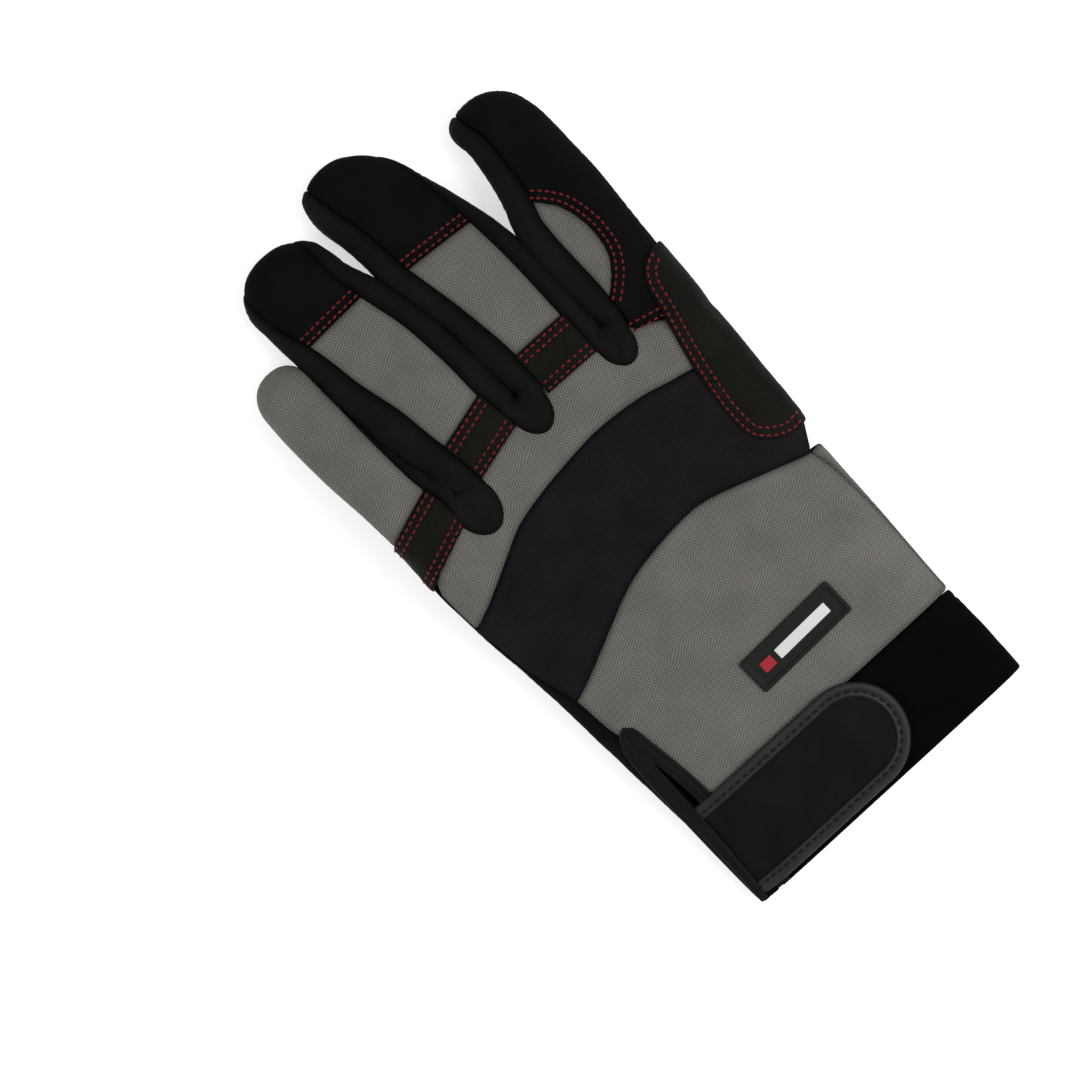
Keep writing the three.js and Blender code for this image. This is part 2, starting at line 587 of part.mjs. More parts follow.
// The thumb: cloth on its outer side, which the fold turns to the floor, and leather round it.
const thumbWalls = shell
  .subtract(handAndFingers(SEAM_GAP + SEAM_GAP / 3).subtract(foldBlock(0)))
  .subtract(cuffLine(SEAM_GAP / 2));
const THUMB_CLOTH = [
  [-0.62, 1.07], [-0.52, 1.053], [-0.5, 1], [-0.467, 0.947], [-0.367, 0.867], [-0.233, 0.787],
  [-0.083, 0.727], [0.083, 0.68], [0.3, 0.645], [0.6, 0.615], [1, 0.612], [1.1, 0.2],
  [0.4, 0.15], [-0.9, 0.6],
];
const THUMB_PATCH = [
  [-0.5, 0.675], [-0.317, 0.673], [-0.2, 0.677], [0, 0.655], [0.13, 0.63], [0.23, 0.6],
  [0.33, 0.5], [0.42, 0.4], [0.52, 0.3], [0.6, 0.22], [0.2, 0.18], [-0.6, 0.4],
];
const outerSide = slabUnder((x, y) => {
  const towardsFold = THREE.MathUtils.smoothstep(x / HAND_HALF, 0.3, 0.7);
  return THREE.MathUtils.lerp(0.55 * THUMB_THICK, middleHeight(x, y) + HAND_THICK, towardsFold);
});
const thumbPatchOutline = THUMB_PATCH.map(onHand);
const thumbClothOutline = THUMB_CLOTH.map(onHand);
const patchCutter = (grow) => prism(outset(thumbPatchOutline, grow)).intersect(outerSide);
const clothCutter = (grow) => prism(outset(thumbClothOutline, grow)).intersect(outerSide);
addPart("thumb_heel_patch", thumbWalls.intersect(patchCutter(0)), LOOKS.patch);
addPart("thumb_cloth", thumbWalls.intersect(clothCutter(0)).subtract(patchCutter(SEAM_GAP)), LOOKS.knit);
const upperGap = outerSide.translate(0, 0, SEAM_GAP);
addPart(
  "thumb_leather",
  thumbWalls
    .subtract(prism(outset(thumbPatchOutline, SEAM_GAP)).intersect(upperGap))
    .subtract(prism(outset(thumbClothOutline, SEAM_GAP)).intersect(upperGap)),
  LOOKS.leather,
);

// The cuff band goes all round the wrist but for the vent.
addPart("cuff_band", shell.intersect(cuffLine(-SEAM_GAP / 2)).subtract(vent), LOOKS.cuff);

// Patches and trim lie on the outside of the shell.
const layer = (from, to) => handAndFingers(to).subtract(handAndFingers(from));

const STRAP_START = -0.79; // the strap's sewn end, a share of the hand's half-width
const strapMiddle = CUFF_HEIGHT / 2 + 2.2;
function strapOutline(inset) {
  const half = STRAP_WIDTH / 2 - inset;
  const start = STRAP_START * HAND_HALF + inset;
  const centre = STRAP_START * HAND_HALF + STRAP_LENGTH - STRAP_WIDTH / 2;
  const round = Array.from({ length: 13 }, (_, step) => {
    const angle = Math.PI * (step / 12 - 0.5);
    return [centre + half * Math.cos(angle), strapMiddle + half * Math.sin(angle)];
  });
  return [[start, strapMiddle - half], ...round, [start, strapMiddle + half]];
}
const strapTop = LAY_CLEARANCE + STRAP_THICK;
addPart(
  "strap_rim",
  layer(LAY_CLEARANCE, LAY_CLEARANCE + STRAP_RIM_THICK).intersect(upperSlab)
    .intersect(prism(strapOutline(0)).subtract(prism(strapOutline(STRAP_RIM_WIDTH)))),
  LOOKS.strap,
);
addPart(
  "strap_tab",
  layer(LAY_CLEARANCE, strapTop).intersect(upperSlab)
    .intersect(prism(strapOutline(STRAP_RIM_WIDTH + SEAM_GAP))),
  LOOKS.strap,
);

// Binding: one tape up one edge of the vent, round its top and down the other edge.
const bindingLine = [[-0.85, 0.005], [-0.85, 0.12], [-0.86, 0.25], [-0.85, 0.38]].map(onHand);
const bindingEnd = [[-0.745, 0.36], [-0.71, 0.27], [-0.69, 0.2]].map(onHand);
const bindingPath = smooth([...bindingLine, [ventTop[0] + 0.1, VENT_LENGTH + 1.2], ...bindingEnd], 24);
function stripAlong(path, half) {
  const side = (turn) => path.map(([x, y], i) => {
    const a = path[Math.max(i - 1, 0)];
    const b = path[Math.min(i + 1, path.length - 1)];
    const along = new THREE.Vector2(b[0] - a[0], b[1] - a[1]).normalize();
    return [x - turn * half * along.y, y + turn * half * along.x];
  });
  return [...side(1), ...side(-1).reverse()];
}
addPart(
  "vent_binding",
  layer(LAY_CLEARANCE, LAY_CLEARANCE + BINDING_THICK).intersect(upperSlab)
    .intersect(prism(stripAlong(bindingPath, BINDING_WIDTH / 2)))
    .subtract(prism(outset(strapOutline(0), SEAM_GAP))),
  LOOKS.strap,
);

// Saddle patch: over the crotch of thumb and index finger, round the index finger's edge.
const SADDLE = [
  [1.15, 1.075], [0.9, 1.073], [0.82, 1.068], [0.755, 1.05], [0.715, 1.02], [0.69, 0.97],
  [0.665, 0.93], [0.625, 0.86], [0.595, 0.79], [0.583, 0.74], [0.59, 0.69], [0.62, 0.665],
  [0.69, 0.642], [0.77, 0.63], [0.86, 0.632], [1.15, 0.632],
];
const saddleZone = slabUnder(() => REACH).subtract(
  slabUnder((x, y) => middleHeight(x, y) - 0.3 * HAND_THICK),
);
addPart(
  "saddle_patch",
  layer(LAY_CLEARANCE + BAND_SWELL, LAY_CLEARANCE + BAND_SWELL + PATCH_THICK)
    .intersect(saddleZone).intersect(prism(SADDLE.map(onHand))),
  LOOKS.patch,
);

// Reinforcement patches under the palm.
const HEEL_PAD = [
  [-0.6, 0.93], [-0.7, 1], [-0.76, 1.03], [-0.83, 1], [-0.88, 0.94], [-0.89, 0.87], [-0.84, 0.81],
  [-0.88, 0.74], [-0.885, 0.66], [-0.865, 0.6], [-0.8, 0.53], [-0.7, 0.46], [-0.6, 0.41],
  [-0.48, 0.375], [-0.38, 0.41], [-0.44, 0.52], [-0.56, 0.6], [-0.62, 0.68], [-0.61, 0.76], [-0.55, 0.82],
];
const FINGER_PAD = [
  [-0.02, 0.96], [0.08, 1.02], [0.17, 1.045], [0.26, 1.02], [0.34, 0.965], [0.42, 0.94],
  [0.5, 0.955], [0.58, 1], [0.67, 1.03], [0.76, 1.015], [0.8, 0.96], [0.77, 0.9],
  [0.66, 0.85], [0.5, 0.83], [0.34, 0.845], [0.15, 0.87], [0.02, 0.91],
];
for (const [name, outline] of [["heel_pad", HEEL_PAD], ["finger_pad", FINGER_PAD]]) {
  const closed = smooth([...outline, outline[0]], 1.5 * outline.length).slice(0, -1);
  addPart(
    name,
    layer(LAY_CLEARANCE, LAY_CLEARANCE + PATCH_THICK).intersect(seamSlab)
      .intersect(prism(closed.map(onHand))),
    LOOKS.patch,
  );
}

// Badge: a rubber plate with a raised rim, sewn square on the back of the hand.
const LABEL_PLACE = onHand([0.12, 0.342]);
const LABEL_TURN = THREE.MathUtils.degToRad(1.8);
function labelOutline(inset) {
  const corner = (x, y) => {
    const spot = new THREE.Vector2(x * (LABEL_LENGTH / 2 - inset), y * (LABEL_WIDTH / 2 - inset));
    spot.rotateAround(new THREE.Vector2(), LABEL_TURN);
    return [LABEL_PLACE[0] + spot.x, LABEL_PLACE[1] + spot.y];
  };
  return [corner(-1, -1), corner(1, -1), corner(1, 1), corner(-1, 1)];
}
const labelTop = LAY_CLEARANCE + LABEL_THICK;
const labelRim = prism(labelOutline(0)).subtract(prism(labelOutline(LABEL_RIM_WIDTH)));
addPart(
  "label_plate",
  layer(LAY_CLEARANCE, labelTop).intersect(prism(labelOutline(0)))
    .add(layer(LAY_CLEARANCE, labelTop + LABEL_RIM_RISE).intersect(labelRim))
    .intersect(upperSlab),
  LOOKS.rubber,
);

// The model, moved so that its origin is under its middle, on the floor.
const glove = new THREE.Group();
for (const { name, made, look } of parts) {
  const { vertProperties, triVerts } = made.getMesh();
  const geometry = new THREE.BufferGeometry();
  geometry.setAttribute("position", new THREE.BufferAttribute(new Float32Array(vertProperties), 3));
  geometry.setIndex(new THREE.BufferAttribute(new Uint32Array(triVerts), 1));
  geometry.computeVertexNormals();
  const mesh = new THREE.Mesh(geometry, new THREE.MeshStandardMaterial(look));
  mesh.name = name;
  glove.add(mesh);
}
const bounds = new THREE.Box3().setFromObject(glove);
const centre = bounds.getCenter(new THREE.Vector3());
glove.position.set(-centre.x, -centre.y, -bounds.min.z);

export default glove;
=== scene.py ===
import math

import bmesh
import bpy
import numpy as np
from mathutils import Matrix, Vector
from mathutils.bvhtree import BVHTree
from mathutils.geometry import delaunay_2d_cdt


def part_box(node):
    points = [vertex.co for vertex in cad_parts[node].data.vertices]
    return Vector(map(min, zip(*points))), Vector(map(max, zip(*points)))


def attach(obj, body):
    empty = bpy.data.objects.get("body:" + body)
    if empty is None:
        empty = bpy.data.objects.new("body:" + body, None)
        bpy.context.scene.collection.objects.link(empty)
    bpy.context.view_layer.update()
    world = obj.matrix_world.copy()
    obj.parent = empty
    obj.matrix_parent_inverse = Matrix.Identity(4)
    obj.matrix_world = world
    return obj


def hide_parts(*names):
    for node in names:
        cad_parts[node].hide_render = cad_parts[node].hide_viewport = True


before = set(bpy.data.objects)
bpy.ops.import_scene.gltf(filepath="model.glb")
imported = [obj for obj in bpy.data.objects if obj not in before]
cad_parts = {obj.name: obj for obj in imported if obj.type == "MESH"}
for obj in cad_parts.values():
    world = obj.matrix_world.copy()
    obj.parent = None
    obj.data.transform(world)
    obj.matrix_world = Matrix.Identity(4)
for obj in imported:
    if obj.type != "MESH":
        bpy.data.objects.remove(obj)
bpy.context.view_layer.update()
MM = 0.001

# Table, light and camera
# A white matt table, one broad soft light from the right and a weak one from the lower left,
# and a camera straight above the glove, turned so that the fingers point to the upper left.
cuff_low, cuff_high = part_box("cuff_band")
CUFF_SIDE = 49.98  # the cuff's edge at the index side, in the glove's own frame
SHIFT_X = CUFF_SIDE - cuff_high.x / MM  # the glove's own x less the shared frame's x
SHIFT_Y = -cuff_low.y / MM
VIEW_TURN = math.radians(-42.5)
VIEW_CENTRE = (-27.9, 120.9)
VIEW_WIDTH = 310.0
VIEW_HEIGHT = 1150.0
GLOVE_LEVEL = 14.0  # the height at which the picture is VIEW_WIDTH wide
SENSOR_WIDTH = 36.0
TABLE_REACH = 3  # metres
TABLE_GLOW, SKY_LIGHT = 0.55, 0.5
LAMPS = [
    # place in metres, side of the square in metres, watts
    ((0.8, -0.6, 1.05), 0.9, 10.5),
    ((-0.9, 0.3, 0.7), 0.7, 2.5),
]


def new_material(name, roughness, gloss, sheen=0.0):
    """A material with its node tree and its Principled BSDF."""
    material = bpy.data.materials.new(name)
    material.use_nodes = True
    skin = material.node_tree.nodes["Principled BSDF"]
    skin.inputs["Roughness"].default_value = roughness
    skin.inputs["Specular IOR Level"].default_value = gloss
    skin.inputs["Sheen Weight"].default_value = sheen
    return material, material.node_tree, skin


table_mesh = bpy.data.meshes.new("table")
table_corners = [(TABLE_REACH * x, TABLE_REACH * y, 0) for x, y in ((-1, -1), (1, -1), (1, 1), (-1, 1))]
table_mesh.from_pydata(table_corners, [], [(0, 1, 2, 3)])
table = bpy.data.objects.new("table", table_mesh)
bpy.context.scene.collection.objects.link(table)
white, _, white_skin = new_material("white table", 0.8, 0.1)
white_skin.inputs["Base Color"].default_value = (0.9, 0.9, 0.9, 1)
white_skin.inputs["Emission Color"].default_value = (1, 1, 1, 1)
white_skin.inputs["Emission Strength"].default_value = TABLE_GLOW
table_mesh.materials.append(white)

sky = bpy.data.worlds.new("studio")
sky.use_nodes = True
sky.node_tree.nodes["Background"].inputs["Color"].default_value = (1, 1, 1, 1)
sky.node_tree.nodes["Background"].inputs["Strength"].default_value = SKY_LIGHT
bpy.context.scene.world = sky
for place, size, power in LAMPS:
    lamp = bpy.data.lights.new("soft light", "AREA")
    lamp.size = size
    lamp.energy = power
    lamp_object = bpy.data.objects.new("soft light", lamp)
    lamp_object.location = place
    lamp_object.rotation_euler = (-Vector(place)).to_track_quat("-Z", "Y").to_euler()
    bpy.context.scene.collection.objects.link(lamp_object)

camera_data = bpy.data.cameras.new("camera")
camera_data.sensor_width = SENSOR_WIDTH
camera_data.lens = SENSOR_WIDTH * (VIEW_HEIGHT - GLOVE_LEVEL) / VIEW_WIDTH
camera = bpy.data.objects.new("camera", camera_data)
camera.location = (
    (VIEW_CENTRE[0] - SHIFT_X) * MM,
    (VIEW_CENTRE[1] - SHIFT_Y) * MM,
    VIEW_HEIGHT * MM,
)
camera.rotation_euler = (0, 0, VIEW_TURN)
bpy.context.scene.collection.objects.link(camera)
bpy.context.scene.camera = camera
bpy.context.scene.view_settings.view_transform = "Standard"

# Palm leather
# One piece of black synthetic suede under the hand and all four fingers. It is the ground that
# the back and the side walls are sewn to, and it comes up round the little finger's edge.
HAND_EDGES = [
    # y, little finger's edge, index finger's edge
    (-12, -49.6, 50), (0, -50, 50), (19.5, -51.5, 50), (33, -52.4, 49.5), (46.5, -53.3, 49.5),
    (64.5, -54.5, 49.7), (90, -56.4, 50), (109.5, -58.7, 51.2), (126, -59.9, 52.2),
    (135, -59.8, 52.4), (160, -59.8, 52.6),
]
SIDE_PROFILE = [
    # y, thickness, share of the lift that the folded thumb gives
    (-15, 10.4, 0), (0, 10.4, 0), (19.5, 10.4, 0), (33, 11.2, 0.22), (46.5, 12.1, 0.62),
    (64.5, 13, 1), (162, 13, 1), (180, 12.6, 0.74), (204, 12.2, 0.2), (219, 12, 0), (270, 11.7, 0),
]
THUMB_LIFT = 12.2
FINGER_LINES = {
    # y, middle line, half-width; then where the rounded tip starts and its length
    "index": ([(126, 39.5, 12.2), (145, 40, 13.1), (160, 40.1, 13.8), (188, 41.3, 14.7),
               (200, 43.2, 13.0), (212, 44.3, 11.8), (218, 43.9, 11.0), (228.3, 41, 10.6)], 218, 10.3),
    "middle": ([(126, 11, 14.5), (150, 10.7, 15.1), (165, 10, 15.6), (185, 9.5, 16), (205, 5.9, 16.5),
                (222, 2.6, 15), (242.5, -2.5, 14)], 222, 20.5),
    "ring": ([(126, -20.5, 14), (150, -21, 15.8), (165, -23.4, 16.9), (180, -24.8, 17.4),
              (195, -26.3, 17.2), (210, -29.2, 16.2), (219, -31, 14.9), (235, -32, 14)], 219, 16),
    "little": ([(126, -47.5, 11.3), (148, -48.7, 11.2), (160, -50.6, 10.1), (175, -52.7, 9.6),
                (190, -53.9, 9.2), (199, -54, 9), (209.2, -53.5, 8.8)], 199, 10.2),
}
HAND_FLAT, HAND_FULLNESS = 0.93, 7.0
FINGER_FLAT, FINGER_FULLNESS = 0.75, 2.6
TIP_POWER = 2.3  # a fingertip's outline is a superellipse of this power
NOSE_START, NOSE_LENGTH = 135.0, 21.0  # where the hand itself is rounded off between the fingers
NOSE_NARROWING = 0.05
LITTLE_SAG = 0.7  # share of the thumb's lift that is lost at the little finger's edge
PALM_PRESS = 0.5  # how much of the palm's roundness the table presses flat
TABLE_GAP = 0.02
OUTSIDE_DROP = 6.0  # how far the hand's section falls away outside its outline
OUTSIDE_SHARE = -0.6  # the same for a finger's back, as a share of its height
PALM_REACH = 1.12  # share of a finger's outline up to which its palm side bulges
PALM_SEAM = 0.956  # share of a finger's outline at which its palm seam lies, seen in the plan
FINGER_ROOT = (126, 134)  # y over which the fingers' backs rise out of the hand's
FINGER_PARTING = (138, 144)  # the same at the hand's two edges
ROOT_WIDTH = 0.97  # share of the hand's half-width where its edges start
FINGER_START = (152, 157)  # y past which a finger is free of the hand
ROOT_BLEND, FINGER_BLEND = 1.2, 0.2  # softness between hand and finger, and between fingers
LITTLE_SEAM = [
    # the palm leather's edge on the back, along the little finger's side
    (-46.2, -2), (-47, 31), (-49.5, 65), (-51.5, 80), (-55.8, 96), (-58, 114), (-59.2, 126),
]
SUEDE_THICKNESS = 1.4


def follow(rows, column, at):
    """One column of a table along a smooth curve through its rows."""
    xs = np.array([row[0] for row in rows], float)
    ys = np.array([row[column] for row in rows], float)
    slope = np.empty(len(xs))
    slope[1:-1] = (ys[2:] - ys[:-2]) / (xs[2:] - xs[:-2])
    slope[0] = (ys[1] - ys[0]) / (xs[1] - xs[0])
    slope[-1] = (ys[-1] - ys[-2]) / (xs[-1] - xs[-2])
    at = np.clip(at, xs[0], xs[-1])
    i = np.clip(np.searchsorted(xs, at, side="right") - 1, 0, len(xs) - 2)
    span = xs[i + 1] - xs[i]
    t = (at - xs[i]) / span
    return (
        ys[i] * (1 + 2 * t) * (1 - t) ** 2 + slope[i] * span * t * (1 - t) ** 2
        + ys[i + 1] * t * t * (3 - 2 * t) - slope[i + 1] * span * t * t * (1 - t)
    )


def ease(value, low, high):
    t = np.clip((value - low) / (high - low), 0, 1)
    return t * t * (3 - 2 * t)


def thickness(y):
    return follow(SIDE_PROFILE, 1, y)


def middle_height(x, y):
    """Height of the middle of the thickness, draped over the folded thumb."""
    sag = LITTLE_SAG * ease(-x, 6, 57) * (1 - ease(y, 90, 138))
    return thickness(y) / 2 - PALM_PRESS + THUMB_LIFT * follow(SIDE_PROFILE, 2, y) * (1 - sag)


def around(across, flat, fullness):
    """Share across and share of the height at a place unrolled round a section."""
    turn = np.maximum(np.abs(across) - flat, 0) / (1 - flat)
    t = np.minimum(np.abs(across), flat) + (1 - flat) * np.sin(np.minimum(turn, math.pi))
    t = t - (1 - flat) * np.maximum(turn - math.pi, 0)
    height = np.sqrt(np.maximum(1 - np.abs(t) ** fullness, 0)) * np.where(turn > math.pi / 2, -1, 1)
    return t * np.sign(across), height


def soft_max(a, b, blend):
    near = np.maximum(blend - np.abs(a - b), 0) / np.maximum(blend, 1e-6)
    return np.maximum(a, b) + near**2 * blend / 4


def hand_line(y):
    little, index = follow(HAND_EDGES, 1, y), follow(HAND_EDGES, 2, y)
    return (little + index) / 2, (index - little) / 2


def nose(y, lift):
    share = np.clip((y - NOSE_START) / (NOSE_LENGTH + lift), 0, 1)
    return 1 - NOSE_NARROWING * share, np.sqrt(1 - share**2)


def hand_height(x, y, lift, side):
    centre, half = hand_line(y)
    narrow, thin = nose(y, lift)
    share = np.abs(x - centre) / (half * narrow + lift)
    rise = np.sqrt(np.maximum(1 - share**HAND_FULLNESS, 0)) * thin
    fallen = np.where((share > 1) | (thin <= 0), OUTSIDE_DROP, 0.0)
    return side * (middle_height(x, y) + side * ((thickness(y) / 2 + lift) * rise - fallen))


def finger_share(name, dx, dy, lift):
    """Share of the way from a finger's middle line to its outline, round the tip as well."""
    rows, round_y, tip = FINGER_LINES[name]
    half = follow(rows, 2, np.minimum(dy + round_y, round_y)) + lift
    beyond = np.maximum(dy, 0) / (tip + lift)
    return (np.abs(dx / half) ** TIP_POWER + beyond**TIP_POWER) ** (1 / TIP_POWER), half


def fingers_height(x, y, lift, side):
    """Highest of the four fingers over a place in the plan, measured outwards."""
    best = np.full(np.shape(x), -np.inf)
    for name, (rows, round_y, _) in FINGER_LINES.items():
        share, _ = finger_share(name, x - follow(rows, 1, y), y - round_y, lift)
        rise = np.sqrt(np.maximum(1 - np.minimum(share, 1) ** FINGER_FULLNESS, 0))
        if side < 0:
            rise = np.sqrt(1 - np.minimum(share, PALM_SEAM) ** FINGER_FULLNESS)
            rise = np.where(share > PALM_REACH, 0, rise)
        rise = np.where(((share > 1) & (side > 0)) | (y < FINGER_ROOT[0]), OUTSIDE_SHARE, rise)
        height = side * (middle_height(x, y) + side * (thickness(y) / 2 + lift) * rise)
        best = soft_max(best, height, FINGER_BLEND)
    return best


def on_floor(x, y, z, lift):
    return np.stack([x, y, np.maximum(z, np.maximum(-lift, TABLE_GAP))], axis=-1)


def on_hand(x, y, lift, side=1):
    """A place on the hand, unrolled over its edges, blended with the finger roots."""
    lift = np.broadcast_to(lift, np.shape(x))
    centre, half = hand_line(y)
    narrow, thin = nose(y, lift)
    across = (x - centre) / half
    share, rise = around(across, HAND_FLAT, HAND_FULLNESS)
    bend = ease(y, NOSE_START, FINGER_PARTING[1])
    px = np.where(
        np.abs(across) > HAND_FLAT, centre + share * (half * narrow + lift) * (1 - bend)
        + (x - centre) * bend, x,
    )
    own = side * (middle_height(px, y) + side * (thickness(y) / 2 + lift) * thin * rise)
    plan = hand_height(px, y, lift, side)
    height = own * (1 - bend) + plan * bend
    rooted = soft_max(height, fingers_height(px, y, lift, side), ROOT_BLEND)
    mix = ease(y, *FINGER_ROOT) * (np.abs(across) < ROOT_WIDTH)
    mix = np.maximum(mix, ease(y, *FINGER_PARTING))
    height = height * (1 - mix) + rooted * mix
    return on_floor(px, y, side * height, lift)


def on_finger(name):
    """Places on one finger's back, unrolled round its sides and its tip."""
    rows, round_y, tip = FINGER_LINES[name]

    def place(x, v, lift):
        lift = np.broadcast_to(lift, np.shape(x))
        drift = follow(rows, 1, np.minimum(v, round_y + tip))
        across, half = finger_share(name, x - drift, v - round_y, 0)
        share, rise = around(across, FINGER_FLAT, FINGER_FULLNESS)
        pull = share / np.maximum(across, 1e-6)
        px = drift + (x - drift) * pull * (half + lift) / half
        y = np.where(v > round_y, round_y + (v - round_y) * pull * (tip + lift) / tip, v)
        height = middle_height(px, y) + (thickness(y) / 2 + lift) * rise
        root = soft_max(height, hand_height(px, y, lift, 1), ROOT_BLEND)
        mix = 1 - ease(v, *FINGER_START)
        return on_floor(px, y, height * (1 - mix) + root * mix, lift)

    return place


def on_palm(x, y, lift):
    return on_hand(x, y, lift, -1)


def curve(points, step=1.0):
    """Points about a step apart on a smooth line through the given ones."""
    p = np.array(points, float)
    padded = np.vstack([2 * p[0] - p[1], p, 2 * p[-1] - p[-2]])
    out = []
    for a, b, c, d in zip(padded, padded[1:], padded[2:], padded[3:]):
        n = max(1, int(math.ceil(np.linalg.norm(c - b) / step)))
        t = (np.arange(n) / n)[:, None]
        out.append(
            0.5 * (2 * b + (c - a) * t + (2 * a - 5 * b + 4 * c - d) * t**2
                   + (3 * b - a - 3 * c + d) * t**3)
        )
    return np.vstack(out + [p[-1:]])


def spaced(loop, least=0.3):
    """A closed outline without the points that nearly repeat the one before."""
    return loop[np.linalg.norm(loop - np.roll(loop, 1, axis=0), axis=1) > least]


def outline(*edges):
    """A closed outline from edges that meet at corners, each a smooth line."""
    parts = [curve(edge)[:-1] if np.allclose(edge[-1], following[0]) else curve(edge)
             for edge, following in zip(edges, edges[1:] + edges[:1])]
    return spaced(np.vstack(parts), 0.15)


def divided(loop, step):
    """A closed outline with points no further than a step apart."""
    out = []
    for a, b in zip(loop, np.roll(loop, -1, axis=0)):
        n = max(1, int(round(np.linalg.norm(b - a) / step)))
        out.append(a + (b - a) * (np.arange(n) / n)[:, None])
    return np.vstack(out)


def distance_to(points, loop, closed=True):
    a = loop if closed else loop[:-1]
    b = np.roll(loop, -1, axis=0) if closed else loop[1:]
    out = np.empty(len(points))
    along = b - a
    square = np.maximum((along**2).sum(1), 1e-9)
    for start in range(0, len(points), 2000):
        p = points[start:start + 2000, None]
        t = np.clip(((p - a) * along).sum(2) / square, 0, 1)
        out[start:start + 2000] = np.sqrt(((a + along * t[..., None] - p) ** 2).sum(2).min(1))
    return out


def is_inside(points, loop):
    x, y = points[:, 0][:, None], points[:, 1][:, None]
    ax, ay = loop[:, 0], loop[:, 1]
    bx, by = np.roll(ax, -1), np.roll(ay, -1)
    crosses = ((ay > y) != (by > y)) & (x < (bx - ax) * (y - ay) / np.where(by == ay, 1e-9, by - ay) + ax)
    return crosses.sum(1) % 2 == 1


NOISE_CELLS = 64
NOISE_SHIFT = 100  # cells


def unevenness(x, y, size, seed):
    """Smooth random values between about -1 and 1, one hump in each size."""
    table = np.random.RandomState(seed).uniform(-1, 1, (NOISE_CELLS, NOISE_CELLS))
    u, v = x / size + NOISE_SHIFT, y / size + NOISE_SHIFT
    i, j = np.floor(u).astype(int), np.floor(v).astype(int)
    s, t = u - i, v - j
    s, t = s * s * (3 - 2 * s), t * t * (3 - 2 * t)
    i, j, i1, j1 = (k % NOISE_CELLS for k in (i, j, i + 1, j + 1))
    return (table[i, j] * (1 - s) * (1 - t) + table[i1, j] * s * (1 - t)
            + table[i, j1] * (1 - s) * t + table[i1, j1] * s * t)


def signed_area(loop):
    return 0.5 * (loop[:, 0] * np.roll(loop[:, 1], -1) - np.roll(loop[:, 0], -1) * loop[:, 1]).sum()


EDGE_STEP = 1.2
EDGE_RINGS = (0.3, 0.75, 1.35, 2.1)  # how far inside the edge the rows of points beside it lie
FOLD_HUMPS = [
    # share of the folds' height, size, seed
    (0.7, 17, 3), (0.45, 7.5, 8),
]
FINE_HEIGHT, FINE_SIZE, FINE_SEED = 0.05, 2.6, 5
PUFF_REACH = 4
TRIANGLE_HEIGHT = 0.866  # of a triangle with sides of 1


def sewn_panel(loop, place, lift=0.0, wall=SUEDE_THICKNESS, roll=0.9, puff=0.25, folds=0.25,
               relief=None, rows=(), spacing=1.15, rings=EDGE_RINGS):
    """One panel as a closed shell: its edges roll down into the seams, and rows of stitches
    pull it in. Returns vertices, faces, distances to the edge and unrolled places."""
    loop = divided(loop, EDGE_STEP)
    loop = loop if signed_area(loop) > 0 else loop[::-1]
    along = np.roll(loop, -1, axis=0) - np.roll(loop, 1, axis=0)
    inward = np.stack([-along[:, 1], along[:, 0]], axis=1)
    inward /= np.maximum(np.linalg.norm(inward, axis=1), 1e-6)[:, None]
    points = [loop]
    for ring in rings:
        shifted = loop + inward * ring
        if ring > 1.5:
            shifted = shifted[::2]
        good = is_inside(shifted, loop)
        good &= distance_to(shifted, loop) > 0.86 * ring
        points.append(shifted[good])
    low, high = loop.min(0), loop.max(0)
    columns = np.arange(low[0], high[0], spacing)
    lines = np.arange(low[1], high[1], spacing * TRIANGLE_HEIGHT)
    gx, gy = np.meshgrid(columns, lines)
    gx = gx + (np.arange(len(lines)) % 2)[:, None] * spacing / 2
    grid = np.stack([gx.ravel(), gy.ravel()], axis=1)
    grid = grid[is_inside(grid, loop)]
    points.append(grid[distance_to(grid, loop) > rings[-1] + 0.5 * spacing])
    flat = np.vstack(points)
    made = delaunay_2d_cdt(
        [Vector(p) for p in flat], [], [list(range(len(loop)))], 1, 1e-4
    )
    flat = np.array([tuple(v) for v in made[0]])
    triangles = np.array([f for f in made[2] if len(f) == 3])
    x, y = flat[:, 0], flat[:, 1]
    edge = distance_to(flat, loop)
    rolled = np.clip(1 - edge / roll, 0, 1)
    height = -roll * (1 - np.sqrt(1 - rolled**2 * 0.98))
    height = height + puff * (1 - np.exp(-edge / PUFF_REACH))
    inner = ease(edge, 0.5, PUFF_REACH)
    height += folds * inner * sum(share * unevenness(x, y, size, seed) for share, size, seed in FOLD_HUMPS)
    height += FINE_HEIGHT * inner * unevenness(x, y, FINE_SIZE, FINE_SEED)
    if relief is not None:
        height += relief(x, y, edge)
    for row, depth, reach in rows:
        near = distance_to(flat, row, closed=False)
        height -= depth * np.exp(-((near / reach) ** 2))
    outer = place(x, y, lift + height)
    inside_wall = place(x, y, np.full(len(x), lift - wall))
    a, b, c = (outer[triangles[:, k]] for k in range(3))
    facing = (np.cross(b - a, c - a) * (outer - inside_wall)[triangles[:, 0]]).sum()
    if facing < 0:
        triangles = triangles[:, ::-1]
    sides = np.vstack([triangles[:, [0, 1]], triangles[:, [1, 2]], triangles[:, [2, 0]]])
    known = {tuple(s) for s in sides.tolist()}
    border = np.array([s for s in sides.tolist() if (s[1], s[0]) not in known])
    n = len(flat)
    walls = np.stack([border[:, 1], border[:, 0], border[:, 0] + n, border[:, 1] + n], axis=1)
    faces = triangles.tolist() + (triangles[:, ::-1] + n).tolist() + walls.tolist()
    return (np.vstack([outer, inside_wall]), faces, np.concatenate([edge, edge]),
            np.vstack([flat, flat]))


CLOTH_SCALE = 0.01  # units of the UV map in a millimetre of cloth
SAME_PLACE = 2e-6  # metres


